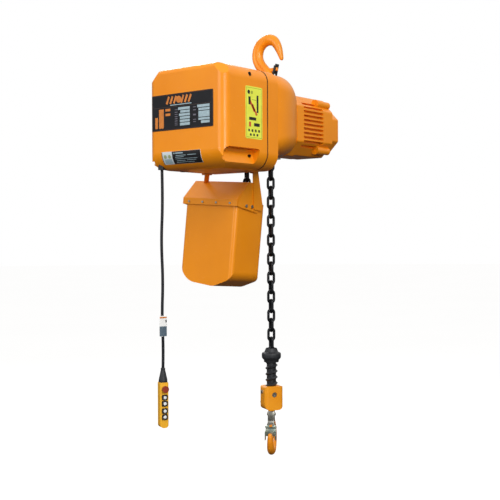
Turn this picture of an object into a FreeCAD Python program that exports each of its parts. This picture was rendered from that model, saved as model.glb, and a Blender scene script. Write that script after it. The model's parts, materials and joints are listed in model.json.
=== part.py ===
import FreeCAD, Part
import math
import os

# Electric chain hoist with single fall chain, pendant control and chain container.
# Millimetres. X runs along the motor shaft towards the motor, Z is up.
# Origin: the bearing point at the top of the suspension hook's bowl.

V = FreeCAD.Vector
X_AXIS = V(1, 0, 0)
Y_AXIS = V(0, 1, 0)
Z_AXIS = V(0, 0, 1)

# Load chain and its wheel
WIRE = 7.5
PITCH = 27.0
LINK_WIDTH = 25.0
LINK_GAP = 0.1
STRAND_TURN = -28.5
TURNING_LINKS = 5
POCKETS = 5
CHAIN_CLEAR = 1.3

# Clearances
RUN_FIT = 0.05
SLIDE_GAP = 0.3

# Housing
BODY_NEAR = -93.0
BODY_FAR = 179.0
BODY_TOP = -96.0
BODY_BOTTOM = -366.0
COVER_END = -312.0
SEAM = -132.0
FLANGE_END = -87.0
NECK_END = 64.0
COVER_WALL = 4.0
CASTING_WALL = 6.0
TOP_RADIUS = 36.0
BOTTOM_RADIUS = 46.0
CORNER_RADIUS = 24.0
END_TOP_RADIUS = 14.0
END_BOTTOM_RADIUS = 48.0
SEAL = 1.6
CASE_COVER = 10.0

# Shaft line
AXLE_Z = -218.0
MODULE_1 = 1.25
PINION_1 = 12
GEAR_1 = 84
MODULE_2 = 1.5
PINION_2 = 12
GEAR_2 = 68

# Motor
MOTOR_SIDE = 176.0
MOTOR_CHAMFER = 40.0
MOTOR_FLANGE = 33.0
MOTOR_END = 218.0
MOTOR_BORE = 132.0
CAP_SIDE = 127.0
CAP_END = 318.0
FIN_DEPTH = 13.0
FIN_PITCH = 12.5
FIN_GAP = 7.0
FIN_COUNT = 11

# Suspension hook and lower hook
HOOK_BOWL = 26.0
HOOK_BAR = 15.5
LOW_BOWL = 23.0
LOW_BAR = 11.5
LOW_BOTTOM = -1170.0
HOOK_SWEEP = 292.0
LOW_TURN = -60.0

# Hook block
BLOCK_TOP = -972.0
BLOCK_BOTTOM = -1040.0
BLOCK_HALF_WIDTH = 28.5
BLOCK_HALF_DEPTH = 22.0
PIN_RADIUS = 4.4
BUMPER_TOP = -875.0
BUMPER_HEIGHT = 29.0
BUMPER_RADIUS = 27.5
SPRING_WIRE = 4.4
SPRING_TURNS = 4

# Chain container
BUCKET_FRONT = -100.0
BUCKET_DEPTH = 128.0
BUCKET_NEAR = 42.0
BUCKET_WIDTH = 196.0
BUCKET_RIM = -448.0
BUCKET_HEIGHT = 245.0
BUCKET_WALL = 3.0
BUCKET_LEAN_Y = 3.5
BUCKET_LEAN_X = 3.5
HOOD_RISE = 58.0

# Pendant
CABLE = 8.0
GLAND_X = -290.0
GLAND_Y = 150.0
CABLE_TOP = -359.0
BOOT_TOP = -902.0
PENDANT_TOP = -941.0
PENDANT_HEIGHT = 124.0
PENDANT_WIDTH = 25.0
PENDANT_DEPTH = 25.0
PENDANT_TURN = -27.0
BUTTON = 14.0
BUTTON_WIDTH = 16.0
BUTTON_TRAVEL = 3.5
BUTTON_DROPS = (40.5, 57.0, 77.0, 93.5)

PITCH_RADIUS = math.hypot(PITCH / (2 * math.sin(math.radians(90 / POCKETS))),
                          WIRE / (2 * math.cos(math.radians(90 / POCKETS))))
AXLE_Y = PITCH_RADIUS
STRAND_TOP = AXLE_Z + 0.4
SLACK_Y = 2 * PITCH_RADIUS
BODY_MID = (BODY_NEAR + BODY_FAR) / 2
CENTRES = MODULE_1 * (PINION_1 + GEAR_1) / 2
SHAFT_2_Z = AXLE_Z - CENTRES


def box(x0, x1, y0, y1, z0, z1):
    return Part.makeBox(x1 - x0, y1 - y0, z1 - z0, V(x0, y0, z0))


def rod(radius, x, y, z, axis, length):
    return Part.makeCylinder(radius, length, V(x, y, z), axis)


def tube(outer, inner, x, y, z, axis, length):
    return rod(outer, x, y, z, axis, length).cut(rod(inner, x, y, z, axis, length))


def fuse(shapes):
    return shapes[0].multiFuse(shapes[1:]) if len(shapes) > 1 else shapes[0]


def corner_wire(points, radii, place):
    """Closed outline through 2D corners, each rounded by its own radius."""
    edges = []
    starts = []
    ends = []
    count = len(points)
    for i in range(count):
        px, py = points[i]
        ax, ay = points[i - 1]
        bx, by = points[(i + 1) % count]
        la = math.hypot(ax - px, ay - py)
        lb = math.hypot(bx - px, by - py)
        ua = ((ax - px) / la, (ay - py) / la)
        ub = ((bx - px) / lb, (by - py) / lb)
        half = math.acos(max(-1, min(1, ua[0] * ub[0] + ua[1] * ub[1]))) / 2
        reach = radii[i] / math.tan(half)
        s = (px + ua[0] * reach, py + ua[1] * reach)
        e = (px + ub[0] * reach, py + ub[1] * reach)
        mid_length = radii[i] / math.sin(half) - radii[i]
        mx, my = ua[0] + ub[0], ua[1] + ub[1]
        ml = math.hypot(mx, my)
        m = (px + mx / ml * mid_length, py + my / ml * mid_length)
        starts.append(s)
        ends.append(e)
        if radii[i] > 0:
            edges.append(Part.Arc(place(*s), place(*m), place(*e)).toShape())
    lines = []
    for i in range(count):
        j = (i + 1) % count
        if math.hypot(starts[j][0] - ends[i][0], starts[j][1] - ends[i][1]) > 1e-6:
            lines.append(Part.LineSegment(place(*ends[i]), place(*starts[j])).toShape())
    return Part.Wire(Part.__sortEdges__(edges + lines))


def on_yz(x):
    return lambda y, z: V(x, y, z)


def on_xz(y):
    return lambda x, z: V(x, y, z)


def on_xy(z):
    return lambda x, y: V(x, y, z)


def rectangle(u0, u1, v0, v1):
    return [(u0, v0), (u1, v0), (u1, v1), (u0, v1)]


def prism(points, radii, place, push):
    return Part.Face(corner_wire(points, radii, place)).extrude(push)


def seat_frame(shape, turn, x, y):
    """Turns a shape about Z at the origin and moves it to x, y."""
    shape.rotate(V(0, 0, 0), Z_AXIS, turn)
    shape.translate(V(x, y, 0))
    return shape


# Housing shells

def body_section(x0, x1, inset):
    """Outline of the cover and flange, extruded along the shaft line."""
    points = rectangle(BODY_NEAR + inset, BODY_FAR - inset, BODY_BOTTOM + inset, BODY_TOP - inset)
    radii = [BOTTOM_RADIUS - inset] * 2 + [TOP_RADIUS - inset] * 2
    return prism(points, radii, on_yz(x0), V(x1 - x0, 0, 0))


CORNER_FACET = 45.0


def facet_cutter(y, inward, inset):
    """Wedge that takes off one upper end corner of the cover."""
    corner = V(COVER_END, y, BODY_TOP)
    legs = [V(CORNER_FACET, 0, 0), V(0, inward * CORNER_FACET, 0), V(0, 0, -CORNER_FACET)]
    outward = V(-1, -inward, 1).normalize()
    middle = corner + (legs[0] + legs[1] + legs[2]) * (1 / 3) - outward * inset
    points = [middle + (corner + leg - outward * inset - middle) * 3 for leg in legs]
    return Part.Face(Part.makePolygon(points + [points[0]])).extrude(outward * 2 * CORNER_FACET)


def cover_block(inset):
    """Cover outline rounded in all three directions."""
    far_end = SEAM - SEAL + (1 if inset else 0)
    end = COVER_END + inset
    block = body_section(end, far_end, inset)
    side = prism(rectangle(end, far_end + 80, BODY_BOTTOM + inset, BODY_TOP - inset),
                 [END_BOTTOM_RADIUS - inset, 0, 0, END_TOP_RADIUS - inset],
                 on_xz(BODY_NEAR - 1), V(0, BODY_FAR - BODY_NEAR + 2, 0))
    plan = prism(rectangle(end, far_end + 80, BODY_NEAR + inset, BODY_FAR - inset),
                 [CORNER_RADIUS - inset, 0, 0, CORNER_RADIUS - inset],
                 on_xy(BODY_BOTTOM - 1), V(0, 0, BODY_TOP - BODY_BOTTOM + 2))
    shape = block.common(side).common(plan)
    return shape.cut(facet_cutter(BODY_NEAR, 1, inset)).cut(facet_cutter(BODY_FAR, -1, inset))


POCKET_FRONT = -307.0
POCKET_BACK = -166.0
POCKET_LOW = -352.0
POCKET_HIGH = -313.0
POCKET_DEPTH = 24.0
POCKET_LIP = 13.0
POCKET_SLANT = 12.0
SCREW_DEPTH = 21.0
SCREW_LOW = (-190.0, -331.0)
SCREW_HIGH = (-206.0, -118.0)
SCREW_R = 4.0


def pocket_cutter(grow):
    """Scooped hand pocket low on the near side of the cover."""
    low = POCKET_LOW - grow
    high = POCKET_HIGH + grow
    points = [(POCKET_FRONT - grow, low), (POCKET_BACK - POCKET_SLANT + grow, low),
              (POCKET_BACK + grow, high), (POCKET_FRONT - grow, high)]
    outline = prism(points, [16 + grow, 6 + grow, 6 + grow, 16 + grow], on_xz(BODY_NEAR - 40),
                    V(0, 80 + grow, 0))
    floor = BODY_NEAR + POCKET_DEPTH + grow
    lip = BODY_NEAR + POCKET_LIP + grow
    wedge = [(BODY_NEAR - 40, low), (lip, low), (floor, POCKET_HIGH - 9), (floor, high),
             (BODY_NEAR - 40, high)]
    scoop = prism(wedge, [0, 0, 12, 0, 0], on_yz(POCKET_FRONT - 20), V(200, 0, 0))
    return outline.common(scoop)


def mirrored(shape):
    """The same shape on the far side of the housing's middle plane."""
    return shape.mirror(V(0, BODY_MID, 0), Y_AXIS)


def control_cover():
    outer = cover_block(0)
    inner = cover_block(COVER_WALL)
    shell = outer.cut(inner)
    backing = pocket_cutter(COVER_WALL).common(outer)
    post_low = rod(11, SEAM - SEAL - 45, BODY_NEAR + 30, SCREW_LOW[1] + 20, X_AXIS, 45)
    pieces = [shell, backing, mirrored(backing)]
    pieces.append(post_low.common(outer))
    pieces.append(mirrored(post_low.common(outer)))
    shell = fuse(pieces)
    shell = shell.cut(pocket_cutter(0)).cut(mirrored(pocket_cutter(0)))
    x, z = SCREW_LOW
    low = rod(SCREW_R + SLIDE_GAP, x, BODY_NEAR - 1, z, Y_AXIS, SCREW_DEPTH + 1)
    x, z = SCREW_HIGH
    high = rod(SCREW_R + 2.2, x, BODY_NEAR - 1, z, Y_AXIS, 6)
    for hole in (low, mirrored(low), high, mirrored(high)):
        shell = shell.cut(hole)
    gland = rod(GLAND_BARREL + RUN_FIT, GLAND_X, GLAND_Y, BODY_BOTTOM - 1, Z_AXIS, 60)
    inlet = rod(GLAND_BARREL + RUN_FIT, INLET_X, INLET_Y, BODY_BOTTOM - 1, Z_AXIS, 60)
    return shell.cut(gland).cut(inlet)


def cover_screws():
    """Cap screws seen in the hand pockets and on the upper sides."""
    x, z = SCREW_LOW
    low = rod(SCREW_R, x, BODY_NEAR + SCREW_DEPTH - 5, z, Y_AXIS, 5)
    low = low.cut(rod(2, x, BODY_NEAR + SCREW_DEPTH - 6, z, Y_AXIS, 3.5))
    x, z = SCREW_HIGH
    high = rod(SCREW_R + 2, x, BODY_NEAR + 2.6, z, Y_AXIS, 2.2)
    high = high.cut(rod(2.5, x, BODY_NEAR, z, Y_AXIS, 4))
    return Part.makeCompound([low, high, mirrored(low), mirrored(high)])


def cover_seal():
    ring = body_section(SEAM - SEAL, SEAM, 1.2)
    return ring.cut(body_section(SEAM - SEAL - 1, SEAM + 1, CASTING_WALL))


# Neck sections: x, near side, far side, bottom, top, corner radius
NECK_SECTIONS = (
    (FLANGE_END, BODY_NEAR + 3, BODY_FAR - 3, -322.0, BODY_TOP, 44.0),
    (-20.0, -88.0, 174.0, -318.0, -94.0, 56.0),
    (24.0, -72.0, 159.0, -314.0, -100.0, 58.0),
    (NECK_END, AXLE_Y - 90, AXLE_Y + 90, -308.0, -130.0, 52.0),
)


def neck(inset, ends):
    wires = []
    for i, (x, near, far, low, high, radius) in enumerate(NECK_SECTIONS):
        points = rectangle(near + inset, far - inset, low + inset, high - inset)
        if i == 0:
            shift = -ends
        elif i == len(NECK_SECTIONS) - 1 and inset:
            shift = ends
        else:
            shift = 0
        wires.append(corner_wire(points, [radius - inset] * 4, on_yz(x + shift)))
    return Part.makeLoft(wires, True, False)


GUIDE_X = 25.0
GUIDE_NEAR = -24.0
GUIDE_FAR = SLACK_Y + 24.0
GUIDE_TOP = -284.0
GUIDE_BOTTOM = -314.0
BEARING_OUT = 36.0
SHEAVE_SHAFT = 20.0
WALL_X = -93.0
SHANK = 13.0
BRACKET_TOP = -112.0
NUT_RADIUS = 20.0
HOOK_BOSS = 26.0


def body_casting():
    flange = body_section(SEAM, FLANGE_END, 0)
    chamber = body_section(SEAM - 1, WALL_X, CASTING_WALL)
    shell = fuse([flange.cut(chamber), neck(0, 0.5).cut(neck(CASTING_WALL, 2))])
    wall = neck(1, 0).common(box(NECK_END - CASTING_WALL, NECK_END, -200, 300, -400, 0))
    back = tube(BEARING_OUT + 8, BEARING_OUT, FLANGE_END, AXLE_Y, AXLE_Z, X_AXIS, 14)
    front = tube(BEARING_OUT + 8, BEARING_OUT, 40, AXLE_Y, AXLE_Z, X_AXIS, 20)
    boss = rod(HOOK_BOSS, 0, 0, BRACKET_TOP, Z_AXIS, 30).common(neck(1, 0))
    shell = fuse([shell, wall, back, front, boss])
    shell = shell.cut(rod(BEARING_OUT, WALL_X - 1, AXLE_Y, AXLE_Z, X_AXIS, 22))
    shell = shell.cut(rod(BEARING_OUT, 39, AXLE_Y, AXLE_Z, X_AXIS, 26))
    shell = shell.cut(rod(SMALL_BEARING, WALL_X - 1, AXLE_Y, SHAFT_2_Z, X_AXIS, 4))
    shell = shell.cut(rod(SHANK + 2, 0, 0, -140, Z_AXIS, 60))
    gap = SLIDE_GAP
    face = BUCKET_NEAR - 3 - HOOD
    lug = bucket_place(box(STRAP_X - 11, STRAP_X + 11, face, face + 10, STRAP_Z - 11, -305))
    far_lug = box(-116, -94, 140, 160, -368, -360)
    shell = fuse([shell, lug.cut(neck(CASTING_WALL, 2)), far_lug])
    opening = box(-GUIDE_X - gap, GUIDE_X + gap, GUIDE_NEAR - gap, GUIDE_FAR + gap, -345, -290)
    return shell.cut(opening)


def gear_case_cover():
    """Plate that closes the gear chamber and carries the electrics."""
    plate = body_section(SEAM - CASE_COVER, SEAM + 2, CASTING_WALL + 2)
    plate = plate.cut(rod(SMALL_BEARING, SEAM - 3, AXLE_Y, SHAFT_2_Z, X_AXIS, 6))
    plate = plate.cut(rod(9, SEAM - 3, AXLE_Y, AXLE_Z, X_AXIS, 6))
    post = rod(12, SEAM - CASE_COVER - 45, BODY_NEAR + 30, SCREW_LOW[1] + 20, X_AXIS, 60)
    return plate.cut(post).cut(mirrored(post))


def chain_guide():
    block = box(-GUIDE_X, GUIDE_X, GUIDE_NEAR, GUIDE_FAR, GUIDE_BOTTOM, GUIDE_TOP)
    half = LINK_WIDTH / 2 + CHAIN_CLEAR
    for y in (0, SLACK_Y):
        block = block.cut(box(-half, half, y - half, y + half, GUIDE_BOTTOM - 1, GUIDE_TOP + 1))
    block = block.cut(rod(SHEAVE_RIM + 4, -GUIDE_X - 1, AXLE_Y, AXLE_Z, X_AXIS, 2 * GUIDE_X + 2))
    lugs = []
    for x0 in (-GUIDE_X, GUIDE_X - 4):
        lug = box(x0, x0 + 4, LEVER_Y - 5, LEVER_Y + 5, LEVER_Z - 5, GUIDE_BOTTOM + 1)
        lugs.append(lug)
    block = fuse([block] + lugs)
    return block.cut(rod(2 + RUN_FIT, -40, LEVER_Y, LEVER_Z, X_AXIS, 80))


LEVER_Y = 22.0
LEVER_Z = -323.0


def limit_lever():
    """Plate round the load chain that the bumper lifts at the top of the travel."""
    half = LINK_WIDTH / 2 + CHAIN_CLEAR + 2
    plate = box(-GUIDE_X + 5, GUIDE_X - 5, -20.5, LEVER_Y, LEVER_Z - 2, LEVER_Z + 2)
    plate = plate.cut(box(-half, half, -half, half, LEVER_Z - 5, LEVER_Z + 5))
    barrel = rod(4, -GUIDE_X + 4.4, LEVER_Y, LEVER_Z, X_AXIS, 2 * GUIDE_X - 8.8)
    pin = rod(2, -GUIDE_X, LEVER_Y, LEVER_Z, X_AXIS, 2 * GUIDE_X)
    return fuse([plate, barrel, pin])


def limit_switch():
    return box(-GUIDE_X + 2, GUIDE_X - 2, -42, GUIDE_NEAR, -298, -276)


# Chain

def link(centre, along, normal):
    """One welded link: two straight legs and two half rings."""
    bend = (LINK_WIDTH - WIRE) / 2
    straight = PITCH + WIRE - 2 * bend
    radius = (WIRE - LINK_GAP) / 2
    pieces = []
    for side in (-1, 1):
        pieces.append(Part.makeCylinder(radius, straight, V(-straight / 2, side * bend, 0), X_AXIS))
    for end in (-1, 1):
        section = Part.Face(Part.Wire(Part.makeCircle(radius, V(end * straight / 2, -bend, 0), X_AXIS)))
        pieces.append(section.revolve(V(end * straight / 2, 0, 0), Z_AXIS, end * 180))
    shape = fuse(pieces)
    across = normal.cross(along)
    shape.Placement = FreeCAD.Placement(centre, FreeCAD.Rotation(along, across, normal, "XYZ"))
    return shape


def strand(y, first, last):
    """Hanging links by number; number 0 starts level with the chain wheel's axle."""
    links = []
    for k in range(first, last):
        turn = math.radians(STRAND_TURN * min(1, k / TURNING_LINKS) + (90 if k % 2 == 0 else 0))
        normal = V(math.cos(turn), math.sin(turn), 0)
        links.append(link(V(0, y, STRAND_TOP - PITCH * (k + 0.5)), Z_AXIS, normal))
    return Part.makeCompound(links)


STRAND_LINKS = 29
HELD_LINKS = 13
MIDDLE_LINKS = 8
SLACK_LINKS = 10


def chain_on_sheave():
    links = []
    step = 180 / POCKETS
    for i in range(POCKETS):
        angle = math.radians(step * (i + 0.5))
        out = V(0, -math.cos(angle), math.sin(angle))
        along = V(0, math.sin(angle), math.cos(angle))
        flat = i % 2 == 1
        normal = out if flat else X_AXIS
        centre = V(0, AXLE_Y, AXLE_Z) + out * (FLAT_RADIUS if flat else EDGE_RADIUS)
        links.append(link(centre, along, normal))
    return Part.makeCompound(links)


# Radii of the link centres on the wheel: links lying flat, and links standing on edge
HALF_STEP = math.radians(90 / POCKETS)
LINK_END = PITCH / 2 + WIRE / 2
LINK_REACH = PITCH / 2 - WIRE / 2
FLAT_RADIUS = (LINK_END * math.cos(2 * HALF_STEP) + LINK_REACH) / math.sin(2 * HALF_STEP) - 0.1
EDGE_RADIUS = FLAT_RADIUS * math.cos(2 * HALF_STEP) + LINK_END * math.sin(2 * HALF_STEP)
SHEAVE_RIM = 46.0
SHEAVE_HALF = 21.0


def load_sheave():
    wheel = rod(SHEAVE_RIM, -SHEAVE_HALF, AXLE_Y, AXLE_Z, X_AXIS, 2 * SHEAVE_HALF)
    groove = WIRE / 2 + CHAIN_CLEAR
    floor = PITCH_RADIUS - LINK_WIDTH / 2 - CHAIN_CLEAR - 2
    wheel = wheel.cut(tube(SHEAVE_RIM + 1, floor, -groove, AXLE_Y, AXLE_Z, X_AXIS, 2 * groove))
    step = 360 / POCKETS
    flat = FLAT_RADIUS - WIRE / 2 - 0.6
    half = LINK_WIDTH / 2 + 0.8
    reach = PITCH / 2 + WIRE + 2.4
    for i in range(POCKETS):
        pocket = prism(rectangle(-half, half, -reach, reach), [half - 0.1] * 4,
                       lambda a, b: V(a, b, flat), V(0, 0, 40))
        pocket.rotate(V(0, 0, 0), X_AXIS, 90 - 3 * step / 4 - step * i)
        pocket.translate(V(0, AXLE_Y, AXLE_Z))
        wheel = wheel.cut(pocket)
    shaft = rod(SHEAVE_SHAFT, WALL_X - 1, AXLE_Y, AXLE_Z, X_AXIS, 54 - WALL_X + 1)
    wheel = wheel.fuse(shaft)
    return wheel.cut(rod(SHAFT + 2, -200, AXLE_Y, AXLE_Z, X_AXIS, 400))


SHAFT = 8.0
SMALL_BEARING = 13.0
SHAFT_2 = 7.0
STAGE_1_X = -127.0
STAGE_1_FACE = 12.0
STAGE_2_X = -111.0
STAGE_2_FACE = 16.0


def gear(teeth, module, face, x, y, z, tooth_at, bore):
    """Spur gear with straight flanked teeth; tooth_at is the angle of one tooth."""
    pitch = module * teeth / 2
    part_turn = 2 * math.pi / teeth
    profile = ((pitch - 1.25 * module, 0.30), (pitch, 0.20), (pitch + 0.9 * module, 0.09))
    points = []
    for i in range(teeth):
        middle = math.radians(tooth_at) + part_turn * i
        for radius, share in profile:
            a = middle - part_turn * share
            points.append(V(x, y + radius * math.cos(a), z + radius * math.sin(a)))
        for radius, share in reversed(profile):
            a = middle + part_turn * share
            points.append(V(x, y + radius * math.cos(a), z + radius * math.sin(a)))
    shape = Part.Face(Part.makePolygon(points + [points[0]])).extrude(V(face, 0, 0))
    if bore:
        shape = shape.cut(rod(bore, x - 1, y, z, X_AXIS, face + 2))
    return shape


def load_gear():
    gap_down = 270 + 180 / GEAR_2
    face = STAGE_2_FACE - 4
    wheel = gear(GEAR_2, MODULE_2, face, STAGE_2_X + 2, AXLE_Y, AXLE_Z, gap_down, 0)
    hub = rod(SHEAVE_SHAFT + 8, STAGE_2_X + 2, AXLE_Y, AXLE_Z, X_AXIS, WALL_X - 1 - STAGE_2_X - 2)
    return fuse([wheel, hub]).cut(rod(SHAFT + 2, -200, AXLE_Y, AXLE_Z, X_AXIS, 400))


def intermediate_shaft():
    pinion = gear(PINION_2, MODULE_2, STAGE_2_FACE, STAGE_2_X, AXLE_Y, SHAFT_2_Z, 90, 0)
    end = SHAFT_2 - 0.3
    back = rod(end, SEAM - 2.5, AXLE_Y, SHAFT_2_Z, X_AXIS, STAGE_2_X - SEAM + 2.5)
    front = rod(end, STAGE_2_X + STAGE_2_FACE, AXLE_Y, SHAFT_2_Z, X_AXIS, 5)
    return fuse([pinion, back, front])


def intermediate_gear():
    gap_up = 90 + 180 / GEAR_1
    return gear(GEAR_1, MODULE_1, STAGE_1_FACE, STAGE_1_X, AXLE_Y, SHAFT_2_Z, gap_up, SHAFT_2 - 0.3)


def motor_shaft():
    pinion = gear(PINION_1, MODULE_1, STAGE_1_FACE, STAGE_1_X, AXLE_Y, AXLE_Z, 270, 0)
    neck_end = STAGE_1_X + STAGE_1_FACE
    slim = rod(SHAFT - 2.2, neck_end, AXLE_Y, AXLE_Z, X_AXIS, 4)
    long = rod(SHAFT, neck_end + 4, AXLE_Y, AXLE_Z, X_AXIS, 70 - neck_end - 4)
    thick = rod(12, 70, AXLE_Y, AXLE_Z, X_AXIS, 190)
    return fuse([pinion, slim, long, thick])


def bearings():
    def race(outer, inner, x, z, width):
        return tube(outer, inner + RUN_FIT, x, AXLE_Y, z, X_AXIS, width)
    rings = [
        race(BEARING_OUT, SHEAVE_SHAFT, -88, AXLE_Z, 14),
        race(BEARING_OUT, SHEAVE_SHAFT, 40, AXLE_Z, 14),
        race(28, 12, NECK_END + 8, AXLE_Z, 14),
        race(28, 12, MOTOR_END - 14, AXLE_Z, 12),
        race(SMALL_BEARING, SHAFT_2 - 0.3, SEAM - 3, SHAFT_2_Z, 4),
        race(SMALL_BEARING, SHAFT_2 - 0.3, WALL_X, SHAFT_2_Z, 3),
    ]
    return Part.makeCompound(rings)


# Motor

def motor_outline(side, chamfer, x, length):
    half = side / 2
    c = chamfer
    y, z = AXLE_Y, AXLE_Z
    points = [(y - half + c, z - half), (y + half - c, z - half), (y + half, z - half + c),
              (y + half, z + half - c), (y + half - c, z + half), (y - half + c, z + half),
              (y - half, z + half - c), (y - half, z - half + c)]
    return prism(points, [8] * 8, on_yz(x), V(length, 0, 0))


def fin_cutters(x0, x1):
    cutters = []
    half = MOTOR_SIDE / 2
    for i in range(FIN_COUNT):
        offset = (i - (FIN_COUNT - 1) / 2) * FIN_PITCH
        depth = FIN_DEPTH + max(0, abs(offset) - half + MOTOR_CHAMFER)
        for side in (-1, 1):
            y0 = AXLE_Y + side * half - depth
            z0 = AXLE_Z + offset - FIN_GAP / 2
            cutters.append(box(x0, x1, y0, y0 + 2 * depth, z0, z0 + FIN_GAP))
        if abs(offset) < half - MOTOR_CHAMFER:
            y0 = AXLE_Y + offset - FIN_GAP / 2
            z0 = AXLE_Z + half - FIN_DEPTH
            cutters.append(box(x0, x1, y0, y0 + FIN_GAP, z0, z0 + 2 * FIN_DEPTH))
    return cutters


def motor_screw_places():
    reach = MOTOR_SIDE / 2 - 19
    return [(AXLE_Y + sy * reach, AXLE_Z + sz * reach) for sy in (-1, 1) for sz in (-1, 1)]


def motor_housing():
    flange = motor_outline(MOTOR_SIDE + 8, MOTOR_CHAMFER, NECK_END, MOTOR_FLANGE)
    barrel = motor_outline(MOTOR_SIDE, MOTOR_CHAMFER, NECK_END + MOTOR_FLANGE, MOTOR_END - NECK_END - MOTOR_FLANGE)
    for cutter in fin_cutters(NECK_END + MOTOR_FLANGE + 2, MOTOR_END - 15):
        barrel = barrel.cut(cutter)
    pads = []
    for y, z in motor_screw_places():
        pads.append(rod(13, MOTOR_END - 34, y, z, X_AXIS, 34))
    shell = fuse([flange, barrel] + pads)
    bore = MOTOR_BORE / 2
    shell = shell.cut(rod(bore, NECK_END + 22, AXLE_Y, AXLE_Z, X_AXIS, MOTOR_END - 16 - NECK_END - 22))
    shell = shell.cut(rod(28, NECK_END + 8, AXLE_Y, AXLE_Z, X_AXIS, 16))
    shell = shell.cut(rod(28, MOTOR_END - 17, AXLE_Y, AXLE_Z, X_AXIS, 15))
    shell = shell.cut(rod(14, NECK_END - 1, AXLE_Y, AXLE_Z, X_AXIS, 400))
    return shell


def stator_core():
    return tube(MOTOR_BORE / 2, 41, 106, AXLE_Y, AXLE_Z, X_AXIS, 80)


def stator_windings():
    ends = [tube(60, 44, x, AXLE_Y, AXLE_Z, X_AXIS, 12) for x in (94, 186)]
    return Part.makeCompound(ends)


def rotor_core():
    return tube(40, 12, 107, AXLE_Y, AXLE_Z, X_AXIS, 78)


def rear_cover():
    """Flanged cap over the disc brake at the motor's end."""
    def shape(shrink, x0, x1, step):
        base = motor_outline(MOTOR_SIDE - 2 - shrink, MOTOR_CHAMFER - shrink / 3, x0, step - x0)
        cap = motor_outline(CAP_SIDE - shrink, 30 - shrink / 3, step, x1 - step)
        return fuse([base, cap])
    outer = shape(0, MOTOR_END, CAP_END, MOTOR_END + 34)
    inner = shape(8, MOTOR_END - 1, CAP_END - 5, MOTOR_END + 29)
    shell = outer.cut(inner)
    posts = []
    for y, z in motor_screw_places():
        posts.append(rod(11, MOTOR_END, y, z, X_AXIS, 32))
    shell = fuse([shell] + posts)
    for y, z in motor_screw_places():
        shell = shell.cut(rod(7.5, MOTOR_END + 10, y, z, X_AXIS, 40))
        shell = shell.cut(rod(4, MOTOR_END - 1, y, z, X_AXIS, 40))
    return shell


def rear_cover_screws():
    screws = []
    for y, z in motor_screw_places():
        head = rod(6.5, MOTOR_END + 10, y, z, X_AXIS, 7)
        head = head.cut(rod(2.5, MOTOR_END + 13, y, z, X_AXIS, 5))
        screws.append(fuse([head, rod(3.5, MOTOR_END, y, z, X_AXIS, 11)]))
    return Part.makeCompound(screws)


def brake_coil():
    return tube(50, 15, MOTOR_END, AXLE_Y, AXLE_Z, X_AXIS, 18)


def brake_armature():
    return tube(48, 16, MOTOR_END + 19, AXLE_Y, AXLE_Z, X_AXIS, 7)


def brake_disc():
    return tube(50, 12, MOTOR_END + 26.4, AXLE_Y, AXLE_Z, X_AXIS, 6)


# Electrics on the gear case cover

PLATE_X = SEAM - CASE_COVER


def contactors():
    units = []
    for y0 in (-62, 2):
        base = box(PLATE_X - 78, PLATE_X, y0, y0 + 54, -190, -122)
        top = box(PLATE_X - 92, PLATE_X - 78, y0 + 8, y0 + 46, -178, -134)
        units.append(fuse([base, top]))
    return Part.makeCompound(units)


def transformer():
    core = box(PLATE_X - 66, PLATE_X, 82, 152, -200, -130)
    coil = box(PLATE_X - 74, PLATE_X - 66, 92, 142, -188, -142)
    return fuse([core, coil])


def terminal_block():
    base = box(PLATE_X - 30, PLATE_X, -30, 118, -296, -262)
    slots = []
    for i in range(9):
        slots.append(box(PLATE_X - 31, PLATE_X - 20, -24 + 16 * i, -14 + 16 * i, -290, -268))
    for slot in slots:
        base = base.cut(slot)
    return base


INLET_X = -236.0
INLET_Y = 118.0
GLAND_BARREL = 8.0
NUT_REACH = 11.0


def gland(x, y, top, bottom, bore):
    """Threaded barrel in the cover's hole with a hexagon nut under it."""
    corners = [math.radians(a) for a in range(0, 360, 60)]
    outline = [(x + NUT_REACH * math.cos(a), y + NUT_REACH * math.sin(a)) for a in corners]
    nut = prism(outline, [1.5] * 6, on_xy(bottom), V(0, 0, 20)).cut(cover_block(-0.02))
    barrel = rod(GLAND_BARREL, x, y, bottom + 0.5, Z_AXIS, top - bottom - 0.5)
    body = fuse([barrel, nut])
    return body.cut(rod(bore, x, y, bottom - 1, Z_AXIS, 100)) if bore else body


def pendant_gland():
    return gland(GLAND_X, GLAND_Y, -336, CABLE_TOP - 4, CABLE / 2 + 0.4)


def power_inlet():
    return gland(INLET_X, INLET_Y, -350, BODY_BOTTOM - 1.5, 0)


# Plates and labels

def rating_plate():
    return prism(rectangle(-55, 164, -261, -165), [3] * 4, on_yz(COVER_END - 0.8), V(0.8, 0, 0))


def lower_label():
    x = COVER_END + END_BOTTOM_RADIUS
    z = BODY_BOTTOM + END_BOTTOM_RADIUS
    band = tube(END_BOTTOM_RADIUS + 0.7, END_BOTTOM_RADIUS + 0.1, x, -10, z, Y_AXIS, 139)
    return band.common(box(COVER_END - 2, COVER_END + 20, -20, 200, -351, z))


def side_label():
    return prism(rectangle(-228, -157, -288, -150), [6] * 4, on_xz(BODY_NEAR - 0.5), V(0, 0.5, 0))


# Hooks

def hook_body(bowl, bar, sweep_sign):
    """Round bar bent about the origin in the YZ plane, open towards the near side."""
    ring = bowl + bar
    section = Part.Face(Part.Wire(Part.makeCircle(bar, V(0, 0, -sweep_sign * ring), Y_AXIS)))
    arc = section.revolve(V(0, 0, 0), X_AXIS, sweep_sign * HOOK_SWEEP)
    angle = math.radians(-90 * sweep_sign + sweep_sign * HOOK_SWEEP)
    tip = Part.makeSphere(bar, V(0, ring * math.cos(angle), ring * math.sin(angle)))
    return arc, tip


def hook_tip(bowl, bar, sign):
    angle = math.radians(-90 * sign + sign * HOOK_SWEEP)
    ring = bowl + bar
    return ring * math.cos(angle), ring * math.sin(angle)


def latch_pivot(bowl, bar, sign):
    ring = bowl + bar
    return -bar - 6.0, -sign * (ring + 2)


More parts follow.
